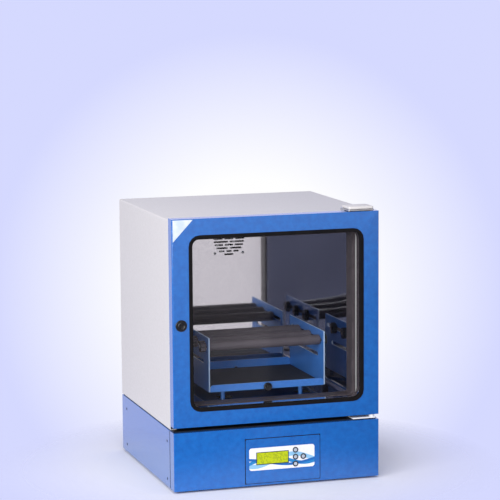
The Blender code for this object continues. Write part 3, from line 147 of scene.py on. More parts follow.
def feed(tree, surface, name, output):
    """Links an output to one named input of the shader."""
    tree.links.new(output, surface.inputs[name])


MATERIALS = {}
print("material helpers are ready")

# %% [markdown]
# ## Powder coat, blue and light
#
# Powder coat is sprayed dry and baked, and its skin dries with an orange peel of lumps one
# to three millimetres across. The lumps catch soft light as a fine mottle, so the colour
# varies a little and the bump is shallow but wide. The blue is glossier than the light grey,
# and its peel is drawn coarser than the real one, at 4.5 mm, so that it shows from afar.

# %% Powder coats
def powder_coat(name, low, high, peel_mm, depth_mm, rough, clear=0.0):
    """Baked powder paint: mottled colour, orange peel, and a glossier skin where clear is given."""
    made, tree, surface, place = start_material(name, IOR=1.5, Coat_Weight=clear, Coat_Roughness=0.16)
    peel = grain(tree, place, peel_mm, 2.5, 0.55)
    speck = grain(tree, place, peel_mm * 3.1, 3.0, 0.6)
    feed(tree, surface, "Base Color", between(tree, speck, srgb(low), srgb(high)))
    feed(tree, surface, "Roughness", between(tree, peel, grey(rough - 0.06), grey(rough + 0.08)))
    relief(tree, surface, peel, depth_mm)
    MATERIALS[name] = made
    return made


BLUE = powder_coat("blue_powder_coat", "0059AA", "0467BA", 4.5, 0.10, 0.18, 1.0)
TRAY_BLUE = powder_coat("fine_blue_powder_coat", "3A78CE", "4A88DC", 1.4, 0.05, 0.34, 0.5)
LIGHT = powder_coat("light_grey_powder_coat", "D6D2CF", "DDD9D7", 1.6, 0.05, 0.5)
WHITE = powder_coat("white_enamelled_steel", "E6E6E8", "EFEFF1", 1.6, 0.04, 0.4)
# A paler blue for the cut rims of the tray's plates: a painted highlight where light catches their edges.
RIM_HIGHLIGHT = powder_coat("painted_highlight_on_cut_edge", "A9C0E2", "C6D6EE", 1.2, 0.02, 0.35)
print("coats:", BLUE.name, TRAY_BLUE.name, LIGHT.name, WHITE.name)

# %% [markdown]
# ## Metals
#
# The chamber is bright-annealed stainless sheet, almost a mirror but never quite flat: a
# slow waviness of some centimetres bends what it reflects. Turned parts are zinc plated or
# brushed along their length, and cast parts are blasted to an even satin.

# %% Metals
def sheet_metal(name, low, high, rough, grain_mm, depth_mm, wave_mm=0.0, wave_depth_mm=0.0):
    """Bare metal: a cool tint, roughness that varies with the grain, and a shallow bump."""
    made, tree, surface, place = start_material(name, Metallic=1.0)
    fine = grain(tree, place, grain_mm, 3.0, 0.6)
    feed(tree, surface, "Base Color", between(tree, fine, srgb(low), srgb(high)))
    feed(tree, surface, "Roughness", between(tree, fine, grey(rough * 0.8), grey(rough * 1.25)))
    if wave_mm:
        relief(tree, surface, grain(tree, place, wave_mm, 1.0, 0.4), wave_depth_mm)
    else:
        relief(tree, surface, fine, depth_mm)
    MATERIALS[name] = made
    return made


POLISHED = sheet_metal("bright_stainless_sheet", "D2CFD5", "DCD9DF", 0.05, 6.0, 0.0, 140.0, 0.10)
ZINC = sheet_metal("zinc_plated_steel", "BFC0C4", "D4D5D8", 0.28, 0.9, 0.01)
STEEL = sheet_metal("ground_tool_steel", "8C8E93", "A6A8AC", 0.3, 0.7, 0.01)
CAST = sheet_metal("blasted_cast_aluminium", "9A9B9E", "B2B3B5", 0.48, 1.4, 0.05)
BLACKED = sheet_metal("black_oxide_steel", "3A3A3D", "4A4A4E", 0.38, 0.8, 0.01)
print("metals:", POLISHED.name, ZINC.name, STEEL.name, CAST.name, BLACKED.name)

# %% [markdown]
# ## Rubbers, plastics and wool
#
# Moulded rubber and plastic take the fine spark grain of their mould, half a millimetre or
# so, and stay rough. Rubber is a warm near-black that scatters light at its edges, plastic
# a little glossier. The insulation is mineral wool faced with matted black tissue.

# %% Moulded and fibrous materials
def moulded(name, low, high, rough, grain_mm, depth_mm, ior=1.5):
    """Moulded rubber or plastic with the fine grain of the mould."""
    made, tree, surface, place = start_material(name, IOR=ior)
    fine = grain(tree, place, grain_mm, 2.0, 0.6)
    cloud = grain(tree, place, grain_mm * 24, 2.0, 0.5)
    feed(tree, surface, "Base Color", between(tree, cloud, srgb(low), srgb(high)))
    feed(tree, surface, "Roughness", between(tree, fine, grey(rough - 0.07), grey(rough + 0.07)))
    relief(tree, surface, fine, depth_mm)
    MATERIALS[name] = made
    return made


RUBBER = moulded("black_nitrile_rubber", "0E0D0E", "161416", 0.7, 0.8, 0.03, 1.22)
SLEEVE = moulded("grey_rubber_sleeve", "5A5157", "645A60", 0.36, 1.2, 0.01)
SEAL = moulded("silicone_door_seal", "1B1B1E", "26262A", 0.55, 0.8, 0.04)
PLASTIC = moulded("black_moulded_abs", "101012", "17171A", 0.38, 0.6, 0.03)
COLLAR = moulded("warm_grey_silicone_collar", "4A4043", "584D50", 0.5, 1.0, 0.03, 1.35)
MAT = moulded("ribbed_rubber_mat", "2C2A31", "38353E", 0.7, 1.5, 0.10)
PALE = moulded("pale_button_cap", "A9B2BE", "B9C1CB", 0.3, 0.8, 0.01)
WOOL = moulded("black_tissue_on_mineral_wool", "1A1A1C", "26262A", 0.92, 1.6, 0.2)
BOARD = moulded("glass_epoxy_board", "0E4A2C", "15603A", 0.45, 1.0, 0.02)
RING = moulded("dark_lens_frame", "10151C", "151B22", 0.35, 0.6, 0.01)
print("materials so far:", len(MATERIALS))

# %% [markdown]
# ## Glass
#
# Float glass is clear on its face and mirrors more the flatter one looks along it. The
# facing of a Layer Weight node, raised to the fifth power, mixes a see-through shader with
# a sharp gloss. A Fresnel node would count a ray that leaves the slab at a low angle as
# trapped, because nothing here bends the ray, and the pane would turn black from the side.

# %% Float glass
def float_glass(name, tint, head_on, edge_on):
    """Clear pane: transparent head on, glossy at a low angle."""
    made = bpy.data.materials.new(name)
    made.use_nodes = True
    tree = made.node_tree
    tree.nodes.clear()
    place = add(tree, "ShaderNodeTexCoord").outputs["Object"]
    smear = between(tree, grain(tree, place, 45, 3.0), grey(0.0), grey(0.03))
    clear = add(tree, "ShaderNodeBsdfTransparent", {"Color": srgb(tint)})
    gloss = add(tree, "ShaderNodeBsdfGlossy", {"Color": srgb("FFFFFF"), "Roughness": smear})
    facing = add(tree, "ShaderNodeLayerWeight", {"Blend": 0.5}).outputs["Facing"]
    slope = add(tree, "ShaderNodeMath", {0: facing, 1: 5.0}, operation="POWER").outputs[0]
    edge = add(tree, "ShaderNodeMapRange", {"Value": slope, "To Min": head_on, "To Max": edge_on}).outputs[0]
    pane = add(tree, "ShaderNodeMixShader", {0: edge, 1: clear.outputs[0], 2: gloss.outputs[0]})
    add(tree, "ShaderNodeOutputMaterial", {"Surface": pane.outputs[0]})
    MATERIALS[name] = made
    return made


GLASS = float_glass("clear_float_glass", "FCFDFD", 0.005, 0.7)
print("glass:", GLASS.name)

# %% [markdown]
# ## The printed film and the display
#
# A polyester film is screen printed from behind and glued on the control plate. This one
# carries plain wave bands in two blues on white, drawn from its own place on the front.
# The liquid-crystal window is yellow-green with a faint cell grid and is lit from behind.

# %% Printed film and display window
FILM_LOW, FILM_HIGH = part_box("control_overlay")
FILM_MID_Z = (FILM_LOW[2] + FILM_HIGH[2]) / 2


def printed_film(name):
    """White film with two flat waves, each a band between sine curves of the place along it."""
    made, tree, surface, place = start_material(name, IOR=1.5, Roughness=0.32)
    split = add(tree, "ShaderNodeSeparateXYZ", {0: place})
    across, up = split.outputs[0], split.outputs[2]
    colour = between(tree, grain(tree, place, 6.0), srgb("E9EAF0"), srgb("F2F2F6"))
    bands = (("8CBFE0", 0.0125, 34.0, 0.4, -0.0050, 0.0050),
             ("1C7FC0", 0.0095, 38.0, 2.2, -0.0060, 0.0042),
             ("0E63AE", 0.0080, 29.0, 3.9, -0.0085, 0.0030))
    for tint, swing, rate, phase, offset, half in bands:
        angle = add(tree, "ShaderNodeMath", {0: across, 1: rate, 2: phase}, operation="MULTIPLY_ADD")
        wave = add(tree, "ShaderNodeMath", {0: angle.outputs[0]}, operation="SINE")
        line = add(tree, "ShaderNodeMath", {0: wave.outputs[0], 1: swing, 2: FILM_MID_Z + offset},
                   operation="MULTIPLY_ADD")
        inside = add(tree, "ShaderNodeMath", {0: up, 1: line.outputs[0], 2: half}, operation="COMPARE")
        mix = add(tree, "ShaderNodeMix", {"Factor": inside.outputs[0]}, data_type="RGBA")
        tree.links.new(colour, mix.inputs[6])
        mix.inputs[7].default_value = srgb(tint)
        colour = mix.outputs[2]
    feed(tree, surface, "Base Color", colour)
    MATERIALS[name] = made
    return made


def display_window(name):
    """Yellow-green reflective liquid crystal over a faint square grid of character cells."""
    made, tree, surface, place = start_material(name, IOR=1.5, Roughness=0.25, Emission_Strength=0.2)
    cell = add(tree, "ShaderNodeTexVoronoi", {"Vector": place, "Scale": 1000 / 0.9, "Randomness": 0.0})
    mark = add(tree, "ShaderNodeTexVoronoi", {"Vector": place, "Scale": 1000 / 2.6, "Randomness": 0.0})
    lit = between(tree, cell.outputs["Distance"], srgb("C2CC00"), srgb("ACB800"), 0.35, 0.6)
    tone = add(tree, "ShaderNodeMix", {"Factor": add(tree, "ShaderNodeMath", {0: mark.outputs["Color"], 1: 0.56},
                                                     operation="GREATER_THAN").outputs[0]}, data_type="RGBA")
    tree.links.new(lit, tone.inputs[6])
    tone.inputs[7].default_value = srgb("98A406")
    tone = tone.outputs[2]
    feed(tree, surface, "Base Color", tone)
    feed(tree, surface, "Emission Color", tone)
    MATERIALS[name] = made
    return made


FILM = printed_film("screen_printed_polyester_film")
LCD = display_window("liquid_crystal_window")
PALE_FILM = moulded("pale_protective_film", "C4D2DE", "E2E8EA", 0.3, 0.8, 0.0)
print("film and display:", FILM.name, LCD.name)

# %% [markdown]
# ## One finish for each kind of surface
#
# The record names a slot for every piece. A table gives each slot its finish, and pieces
# that stand out from their slot are named below it. Every CAD piece gets its finish here,
# also those that only show when the door or a panel is off.

# %% Finishes on the CAD pieces
FINISHES = {"blue_coat": BLUE, "light_coat": LIGHT, "white_coat": WHITE, "polished_steel": POLISHED,
            "zinc": ZINC, "steel": STEEL, "cast_alloy": CAST, "black_rubber": RUBBER,
            "sleeve_rubber": SLEEVE, "seal": SEAL, "black_plastic": PLASTIC, "film": FILM,
            "display": LCD, "board": BOARD, "wool": WOOL, "glass": GLASS}
SPECIAL = {"tray_mat": MAT, "display_module": RING, "shaker_table": TRAY_BLUE, "tray_plate": TRAY_BLUE,
           "tray_side_left": TRAY_BLUE, "tray_side_right": TRAY_BLUE,
           "thumb_screw_front": BLACKED, "thumb_screw_rear": BLACKED, "hinge_bottom_bracket": WHITE,
           "door_inner_frame": POLISHED, "front_collar": COLLAR, "fan_impeller": PLASTIC, "ring_heater": BLACKED}
SLOT_OF = {name: piece.material_slots[0].material.name.split(".")[0] for name, piece in NODES.items()}
for name, piece in NODES.items():
    piece.material_slots[0].material = SPECIAL.get(name, FINISHES[SLOT_OF[name]])
print("finished CAD pieces:", len(NODES))

# %% [markdown]
# ## Bent and moulded edges
#
# A CAD solid comes as loose triangles with knife edges. Real sheet metal turns over a bend
# radius, and mouldings have a small fillet, and those edges catch the light. So a copy is
# merged, its flat triangles are joined into faces, its corners are bevelled, and the copy
# stands for the CAD piece on the same body.

# %% Edge-dressed copies
BEND = math.radians(32)


def settle(piece, body, slot, *stands_for):
    """Puts a finished piece on its body and hides the CAD pieces that it replaces; the slot is not used."""
    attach(piece, body)
    if stands_for:
        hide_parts(*stands_for)
    return piece


def baked(piece):
    """Applies what modifiers a piece has, by turning its evaluated result into its mesh."""
    bpy.context.view_layer.update()
    evaluated = piece.evaluated_get(bpy.context.evaluated_depsgraph_get())
    mesh = bpy.data.meshes.new_from_object(evaluated)
    piece.modifiers.clear()
    piece.data = mesh
    return piece


def shown(name, mesh, *materials):
    """A new object in the scene that carries the mesh and its materials."""
    mesh.name = name
    piece = bpy.data.objects.new(name, mesh)
    bpy.context.scene.collection.objects.link(piece)
    if len(mesh.materials):
        mesh.materials.clear()
    for one in materials:
        mesh.materials.append(one)
    return piece


def smooth(mesh, angle=BEND):
    """Smooth shading that stays sharp where faces meet at more than the angle."""
    mesh.polygons.foreach_set("use_smooth", [True] * len(mesh.polygons))
    mesh.set_sharp_from_angle(angle=angle)


def thin(face, sheet_mm=2.6):
    """True for a strip no wider than the edge of a sheet, such as a panel's rim."""
    return 2 * face.calc_area() / max(face.calc_perimeter(), MM) < sheet_mm * MM


def merged_mesh(node, rim_mm=0):
    """A merged copy of a CAD piece's mesh, its corners marked for the bevel and its rims listed."""
    mesh = NODES[node].data.copy()
    form = bmesh.new()
    form.from_mesh(mesh)
    bmesh.ops.remove_doubles(form, verts=form.verts, dist=0.002 * MM)
    bmesh.ops.dissolve_limit(form, angle_limit=math.radians(0.5), verts=form.verts, edges=form.edges)
    weight = form.edges.layers.float.new("bevel_weight_edge")
    for edge in form.edges:
        if len(edge.link_faces) == 2 and edge.calc_face_angle() > BEND:
            edge[weight] = 0.25 if any(thin(face) for face in edge.link_faces) else 1.0
    rims = [face.index for face in form.faces if rim_mm and thin(face, rim_mm)]
    form.to_mesh(mesh)
    form.free()
    mesh["rims"] = rims
    return mesh


def dressed(node, edge_mm, segments=2, rim=None):
    """The bevelled copy that stands for a CAD piece; a rim finish, if one is given, goes on its cut rims as a
    painted highlight.
    """
    mesh = merged_mesh(node, 3.4 if rim else 0)
    finishes = [SPECIAL.get(node, FINISHES[SLOT_OF[node]])] + ([rim] if rim else [])
    piece = shown("dressed_" + node, mesh, *finishes)
    for index in mesh["rims"]:
        mesh.polygons[index].material_index = 1
    smooth(mesh)
    bevel = piece.modifiers.new("edges", "BEVEL")
    bevel.width, bevel.segments = edge_mm * MM, segments
    bevel.limit_method = "WEIGHT"
    bevel.harden_normals = True
    baked(piece)
    return settle(piece, body_of(NODES[node])[0], SLOT_OF[node], node)


EDGES_MM = {"base_tub": 1.0, "base_front_panel": 1.2, "base_back_panel": 0.4, "control_plate": 0.5,
            "cabinet_wrapper": 1.4, "cabinet_back_panel": 0.4, "front_frame": 0.3, "door_skin": 1.3,
            "door_inner_frame": 0.4, "chamber_liner": 0.15, "front_collar": 1.0, "window_gasket": 0.7,
            "door_seal": 1.0, "latch_bezel": 0.6, "latch_knob": 0.5, "latch_strike": 0.4,
            "hinge_top_bracket": 0.4, "hinge_bottom_bracket": 0.4, "hinge_top_cover": 0.8,
            "tray_plate": 0.4, "tray_side_left": 0.4, "tray_side_right": 0.4, "shaker_table": 0.8,
            "tray_mat": 0.5, "thumb_screw_front": 0.4, "thumb_screw_rear": 0.4, "power_inlet": 0.6,
            "power_switch_rocker": 0.8, "foot_front_left": 0.8, "foot_front_right": 0.8,
            "foot_rear_left": 0.8, "foot_rear_right": 0.8, "display_module": 0.3,
            "star_knob_front": 0.8, "star_knob_middle": 0.8, "star_knob_rear": 0.8,
            "control_overlay": 0.1, "cabinet_floor": 0.4, "fan_impeller": 0.3}
# The tray's plates get the paler blue on their cut rims as a painted highlight.
HIGHLIGHTED_RIMS = ("tray_plate", "tray_side_left", "tray_side_right")
for node, width in EDGES_MM.items():
    dressed(node, width, rim=RIM_HIGHLIGHT if node in HIGHLIGHTED_RIMS else None)
print("edge-dressed pieces:", len(EDGES_MM))

# %% [markdown]
# ## Two panes
#
# The door is double glazed: 4 mm float glass outside and 3 mm inside, with the air gap that
# keeps the chamber warm. Both are closed slabs with ground edges, so they look right from
# the edge when the door stands open.

# %% Panes
for pane in ("outer_glass", "inner_glass"):
    dressed(pane, 0.4)
print("panes: two slabs of glass")

# %% [markdown]
# ## The display window and the button caps
#
# The liquid crystal sits in a dark frame that stands a little proud of the film. Each push
# button is a pale domed cap in a dark moulded ring. Both are turned or framed outlines, so
# they are lofted from a few rings of points, from the back edge to the middle of the face.

# %% Window, frame and caps
def loft(name, rings, body, slot, *materials, bands=(), stands_for=()):
    """Joins rings of equal length into a skin, closes its last ring, and gives a band its material."""
    form = bmesh.new()
    loops = [[form.verts.new(point) for point in ring] for ring in rings]
    count = len(loops[0])
    for level, (one, two) in enumerate(zip(loops, loops[1:])):
        for i in range(count):
            face = form.faces.new((one[i], one[(i + 1) % count], two[(i + 1) % count], two[i]))
            face.material_index = bands[level] if bands else 0
    form.faces.new(loops[-1]).material_index = bands[-1] if bands else 0
    form.faces.new(loops[0][::-1])
    bmesh.ops.recalc_face_normals(form, faces=form.faces)
    mesh = bpy.data.meshes.new(name)
    form.to_mesh(mesh)
    form.free()
    smooth(mesh)
    return settle(shown(name, mesh, *materials), body, slot, *stands_for)


def frame_ring(low, high, inset, y):
    """The four corners of a window, moved in by an inset, at a depth."""
    (x0, z0), (x1, z1) = low, high
    return [(x0 + inset, y, z0 + inset), (x1 - inset, y, z0 + inset),
            (x1 - inset, y, z1 - inset), (x0 + inset, y, z1 - inset)]


def round_ring(centre, radius, y, points=28):
    """A circle that faces the front."""
    return [(centre[0] + radius * math.cos(math.tau * i / points), y,
             centre[1] + radius * math.sin(math.tau * i / points)) for i in range(points)]


WINDOW_LOW, WINDOW_HIGH = (-0.0526, 0.0550), (0.0241, 0.0824)
FACE_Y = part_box("control_overlay")[0][1]
loft("display_frame", [frame_ring(WINDOW_LOW, WINDOW_HIGH, inset * MM, FACE_Y + depth * MM)
                       for inset, depth in ((-1.2, 0.9), (-1.2, -0.25), (-1.0, -0.4), (0.4, -0.4), (0.6, -0.2))],
     "cabinet", "display", RING, LCD, bands=(0, 0, 0, 0, 1))
for place in ("up", "middle", "down", "right"):
    low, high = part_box("button_" + place)
    centre = ((low[0] + high[0]) / 2, (low[2] + high[2]) / 2)
    radius, face = (high[0] - low[0]) / 2, low[1]
    body = body_of(NODES["button_" + place])[0]
    rear = (high[1] - face) / MM
    cap = [round_ring(centre, radius * share, face + depth * MM) for share, depth in
           ((1.0, rear), (1.0, 0.5), (0.96, 0.12), (0.88, 0.0), (0.72, 0.10), (0.64, 0.55), (0.62, 0.55),
            (0.58, 0.18), (0.44, 0.06), (0.24, 0.02), (0.08, 0.0))]
    loft("cap_" + place, cap, body, SLOT_OF["button_" + place], RING, PALE,
         bands=(0, 0, 0, 0, 0, 0, 1, 1, 1, 1, 1), stands_for=("button_" + place,))
print("window frame and 4 caps")

# %% [markdown]
# ## Star heads on the clamp bars
#
# Each clamp bar is held by a star knob at its right end and a fixed star head at its left
# end. The head is a six-lobed moulding: its outline is a circle whose radius swells six
# times round, and rings of that outline are stacked along the bar, with a plated washer
# in the middle of the outer face.

# %% Star heads
PLATE_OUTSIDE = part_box("tray_side_left")[0][0]
STAR_LOBES = 6


def star_ring(centre, x, radius, swell, points=36):
    """Six lobes round the bar's axis, in a plane across the bar."""
    ring = []
    for i in range(points):
        reach = radius * (1 + swell * math.cos(STAR_LOBES * math.tau * i / points))
        ring.append((x, centre[0] + reach * math.cos(math.tau * i / points),
                     centre[1] + reach * math.sin(math.tau * i / points)))
    return ring


for place in ("front", "middle", "rear"):
    low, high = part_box("clamp_bar_" + place)
    knob_low, knob_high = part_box("star_knob_" + place)
    centre = ((low[1] + high[1]) / 2, (low[2] + high[2]) / 2)
    radius = (knob_high[1] - knob_low[1]) / 2.24
    profile = ((0.6, 0.50, 0.0), (2.6, 0.52, 0.0), (3.4, 0.90, 0.10), (4.0, 0.98, 0.12), (11.4, 0.98, 0.12),
               (12.4, 0.88, 0.10), (12.6, 0.52, 0.0), (12.2, 0.46, 0.0), (13.0, 0.40, 0.0), (13.2, 0.20, 0.0))
    rings = [star_ring(centre, PLATE_OUTSIDE - x * MM, radius * share, swell) for x, share, swell in profile]
    loft("star_head_" + place, rings, body_of(NODES["clamp_bar_" + place])[0], "black_plastic", PLASTIC, ZINC,
         bands=(0, 0, 0, 0, 0, 0, 0, 1, 1, 1))
print("three star heads, radius", round(radius * 1000, 1), "mm")

# %% [markdown]
# ## A seal strip, painted seam shadows and the corner film
#
# A dark strip seals the control plate against the front. Where the folded front panel meets
# the side of the tub, a dark strip on each side stands for the seam's gap as painted shadow.
# In the door's top left corner sits a three-sided piece of pale protective film. All are thin
# solids, a fraction of a millimetre proud, so each gets its own edge and its own shadow.

# %% Strips and film
PLATE_LOW, PLATE_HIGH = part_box("control_plate")
FRONT_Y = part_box("base_front_panel")[0][1]
BASE_HALF_WIDTH, SEAM_LOW, SEAM_HIGH, SEAM_HALF = 0.250, 0.0062, 0.1405, 1.8 * MM
SEAL_RINGS = [frame_ring(PLATE_LOW.xz, PLATE_HIGH.xz, inset * MM, FRONT_Y + depth * MM)
              for inset, depth in ((-1.5, 0.8), (-1.5, -0.25), (-1.2, -0.4), (0.6, -0.4))]
loft("plate_seal", SEAL_RINGS, "cabinet", "seal", RUBBER)


def side_ring(sign, y, z0, z1, half, proud):
    """A narrow upright rectangle on one side of the base."""
    x = sign * (BASE_HALF_WIDTH + proud)
    return [(x, y - half, z0), (x, y + half, z0), (x, y + half, z1), (x, y - half, z1)]


SEAM_Y = (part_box("base_front_panel")[1][1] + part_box("base_tub")[0][1]) / 2
# Dark rubber strips on the tub's sides: painted shadow of the seam where the front panel meets the tub.
for side, sign in (("left", -1), ("right", 1)):
    strip = [side_ring(sign, SEAM_Y, SEAM_LOW, SEAM_HIGH, SEAM_HALF, proud * MM) for proud in (-1.2, 0.10)]
    loft("seam_shadow_strip_" + side, strip, "cabinet", "seal", RUBBER)
DOOR_LOW, DOOR_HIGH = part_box("door_skin")
CORNER_X, CORNER_Z = DOOR_LOW[0] + 3.0 * MM, DOOR_HIGH[2] - 2.0 * MM


def corner_ring(depth, inset):
    """The three corners of the film, moved in by an inset."""
    return [(CORNER_X + inset, DOOR_LOW[1] + depth, CORNER_Z - 0.050 + 2.4 * inset),
            (CORNER_X + 0.047 - 2.4 * inset, DOOR_LOW[1] + depth, CORNER_Z - inset),
            (CORNER_X + inset, DOOR_LOW[1] + depth, CORNER_Z - inset)]


FILM_RINGS = [corner_ring(depth * MM, inset * MM)
              for depth, inset in ((0.3, 0.0), (-0.10, 0.0), (-0.16, 0.15))]
loft("corner_film", FILM_RINGS, "door", "film", PALE_FILM)
print("strips and film, seam at y =", round(SEAM_Y * 1000, 1), "mm")

# %% [markdown]
# ## Screws and knurls by Geometry Nodes
#
# Screws repeat, so one node tree makes them: a short cylinder whose top face is extruded and
# scaled three times becomes a chamfered head with a round socket, and it is placed on each
# point of a small mesh. A second tree sets ribs round a circle, which gives the thumb
# screws the knurl that fingers grip.

# %% Node trees
def new_tree(name, **inputs):
    """A geometry tree with a geometry input, named number or vector inputs and one output."""
    tree = bpy.data.node_groups.new(name, "GeometryNodeTree")
    tree.interface.new_socket("Geometry", in_out="OUTPUT", socket_type="NodeSocketGeometry")
    tree.interface.new_socket("Geometry", in_out="INPUT", socket_type="NodeSocketGeometry")
    for label, kind in inputs.items():
        tree.interface.new_socket(label, in_out="INPUT", socket_type="NodeSocket" + kind)
    return tree, add(tree, "NodeGroupInput").outputs


def end_tree(tree, placed, material):
    """Realises the instances, gives them their material and links the output."""
    real = add(tree, "GeometryNodeRealizeInstances", {"Geometry": placed}).outputs[0]
    coated = add(tree, "GeometryNodeSetMaterial", {"Geometry": real, "Material": material}).outputs[0]
    add(tree, "NodeGroupOutput", {"Geometry": coated})


def screw_tree():
    """Heads with a chamfer and a socket on every point, facing one way."""
    tree, given = new_tree("socket_screws", Radius="Float", Height="Float", Facing="Vector", Finish="Material")
    solid = add(tree, "GeometryNodeMeshCylinder",
                {"Vertices": 20, "Radius": given["Radius"], "Depth": given["Height"]})
    mesh, top = solid.outputs["Mesh"], solid.outputs["Top"]
    for rise, share in ((0.22, 0.84), (0.0, 0.58), (-0.55, 0.9)):
        reach = add(tree, "ShaderNodeMath", {0: given["Height"], 1: rise}, operation="MULTIPLY").outputs[0]
        step = add(tree, "GeometryNodeExtrudeMesh", {"Mesh": mesh, "Selection": top, "Offset Scale": reach})
        mesh = add(tree, "GeometryNodeScaleElements", {"Geometry": step.outputs["Mesh"],
                                                       "Selection": step.outputs["Top"], "Scale": share}).outputs[0]
        top = step.outputs["Top"]
    facing = add(tree, "FunctionNodeAlignRotationToVector", {"Vector": given["Facing"]}, axis="Z").outputs[0]
    placed = add(tree, "GeometryNodeInstanceOnPoints", {"Points": given["Geometry"], "Instance": mesh,
                                                        "Rotation": facing}).outputs[0]
    end_tree(tree, placed, given["Finish"])
    return tree


def rib_tree():
    """Ribs set round a circle about the Y axis, each a slim block turned outwards."""
    tree, given = new_tree("knurl_ribs", Count="Int", Radius="Float", Rib="Vector", Finish="Material")
    ring = add(tree, "GeometryNodeMeshCircle", {"Vertices": given["Count"], "Radius": given["Radius"]}).outputs[0]
    rib = add(tree, "GeometryNodeMeshCube", {"Size": given["Rib"]}).outputs["Mesh"]
    outwards = add(tree, "FunctionNodeAlignRotationToVector",
                   {"Vector": add(tree, "GeometryNodeInputPosition").outputs[0]}, axis="X").outputs[0]
    ribs = add(tree, "GeometryNodeInstanceOnPoints",
               {"Points": ring, "Instance": rib, "Rotation": outwards}).outputs[0]
    turned = add(tree, "GeometryNodeTransform", {"Geometry": ribs, "Rotation": (math.pi / 2, 0, 0)}).outputs[0]
    placed = add(tree, "GeometryNodeInstanceOnPoints", {"Points": given["Geometry"], "Instance": turned}).outputs[0]
    end_tree(tree, placed, given["Finish"])
    return tree


SCREWS, RIBS = screw_tree(), rib_tree()


def grown(name, tree, points, body, slot, **values):
    """Runs a tree on a few points and keeps the plain mesh."""
    mesh = bpy.data.meshes.new(name)
    mesh.from_pydata(points, [], [])
    piece = shown(name, mesh)
    modifier = piece.modifiers.new("grow", "NODES")
    modifier.node_group = tree
    for item in tree.interface.items_tree:
        if item.in_out == "INPUT" and item.name in values:
            modifier[item.identifier] = values[item.name]
    return settle(baked(piece), body, slot)


print("trees:", SCREWS.name, RIBS.name)

# %% Screws and knurls
BACK_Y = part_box("cabinet_back_panel")[1][1]
SIDE_X, SIDE_Y, SIDE_Z = 0.2495, (-0.178, 0.2), (0.0237, 0.113)
SHELL_X, SHELL_Z, BASE_X, BASE_Z = (-0.236, 0.0, 0.236), (0.158, 0.387, 0.617), (-0.236, 0.236), (0.018, 0.129)
FAN_X, FAN_Z, GRILLE = 0.0, 0.5339, 0.03575
LINER_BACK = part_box("chamber_liner")[1][1]
for side, sign in (("left", -1.0), ("right", 1.0)):
    grown("side_screws_" + side, SCREWS, [(sign * SIDE_X, y, z) for y in SIDE_Y for z in SIDE_Z],
          "cabinet", "zinc", Radius=3.6 * MM, Height=1.2 * MM, Facing=(sign, 0.0, 0.0), Finish=PLASTIC)
grown("back_screws", SCREWS, [(x, BACK_Y, z) for x in SHELL_X for z in SHELL_Z] +
      [(x, BACK_Y, z) for x in BASE_X for z in BASE_Z],
      "cabinet", "zinc", Radius=3.2 * MM, Height=1.0 * MM, Facing=(0.0, 1.0, 0.0), Finish=ZINC)
grown("grille_screws", SCREWS, [(FAN_X + dx, LINER_BACK - 1.0 * MM, FAN_Z + dz) for dx in (-GRILLE, GRILLE)
                                for dz in (-GRILLE, GRILLE)],
      "cabinet", "zinc", Radius=3.3 * MM, Height=1.8 * MM, Facing=(0.0, -1.0, 0.0), Finish=STEEL)
print("screws on the sides, the back and the grille")
for node, name in (("thumb_screw_front", "front"), ("thumb_screw_rear", "rear")):
    low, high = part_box(node)
    middle = [(a + b) / 2 for a, b in zip(low, high)]
    depth = (high[1] - low[1]) * 0.5
    shift = low[1] + depth * 0.5 if name == "front" else high[1] - depth * 0.5
    grown("knurl_" + name, RIBS, [(middle[0], shift, middle[2])], body_of(NODES[node])[0], SLOT_OF[node],
          Count=30, Radius=(high[0] - low[0]) / 2, Rib=(0.8 * MM, 1.0 * MM, depth * 0.7), Finish=BLACKED)
print("knurls on the thumb screws")

# %% [markdown]
# ## Camera
#
# The photograph looks slightly down on the front and the left side through a long lens.
# The camera's place and turn come from the vanishing lines of the box and its real size.

# %% Camera
YAW, PITCH, ROLL = 0.30337, 0.13577, -0.00722
forward = Vector((math.sin(YAW) * math.cos(PITCH), math.cos(YAW) * math.cos(PITCH), -math.sin(PITCH)))
level = Vector((math.cos(YAW), -math.sin(YAW), 0))
upward = level.cross(forward)
right = level * math.cos(ROLL) + upward * math.sin(ROLL)
above = upward * math.cos(ROLL) - level * math.sin(ROLL)
camera_data = bpy.data.cameras.new("photo_camera")
camera_data.sensor_width, camera_data.lens = 36.0, 157.89
camera_data.clip_end = 60.0
camera = bpy.data.objects.new("photo_camera", camera_data)
bpy.context.scene.collection.objects.link(camera)
camera.matrix_world = Matrix((
    (right.x, above.x, -forward.x, -1.546857),
    (right.y, above.y, -forward.y, -4.973288),
    (right.z, above.z, -forward.z, 1.234779),
    (0, 0, 0, 1)))
bpy.context.scene.camera = camera
print("camera distance:", round(camera.matrix_world.translation.length, 3), "m")

# %% [markdown]
# ## Floor, background and studio light
#
# The object stands on a plain pale floor that melts into the background: white behind the
# object, lavender towards the corners. The floor is a disc whose edge turns transparent, so
# the world shows behind it. For lighting the world is an even grey. Gloss sees the same
# background behind the object, and in front of it a dark room with a tall softbox and a
# pale strip, which give polished sheet its bright and dark fields.

# %% Floor
def floor_material():
    """Matt pale floor that fades out, so that the background takes over without an edge."""
    made = bpy.data.materials.new("studio_floor")
    made.use_nodes = True
    tree = made.node_tree
    tree.nodes.clear()
    place = add(tree, "ShaderNodeTexCoord").outputs["Object"]
    reach = add(tree, "ShaderNodeVectorMath", {0: place}, operation="LENGTH").outputs["Value"]
    cover = between(tree, reach, grey(1.0), grey(0.0), 0.36, 0.62)
    tone = between(tree, reach, srgb("F2F2F8"), srgb("DCDFFA"), 0.30, 0.60)
    matt = add(tree, "ShaderNodeBsdfDiffuse", {"Color": tone})
    nothing = add(tree, "ShaderNodeBsdfTransparent")
    mix = add(tree, "ShaderNodeMixShader", {0: cover, 1: nothing.outputs[0], 2: matt.outputs[0]})
    add(tree, "ShaderNodeOutputMaterial", {"Surface": mix.outputs[0]})
    return made


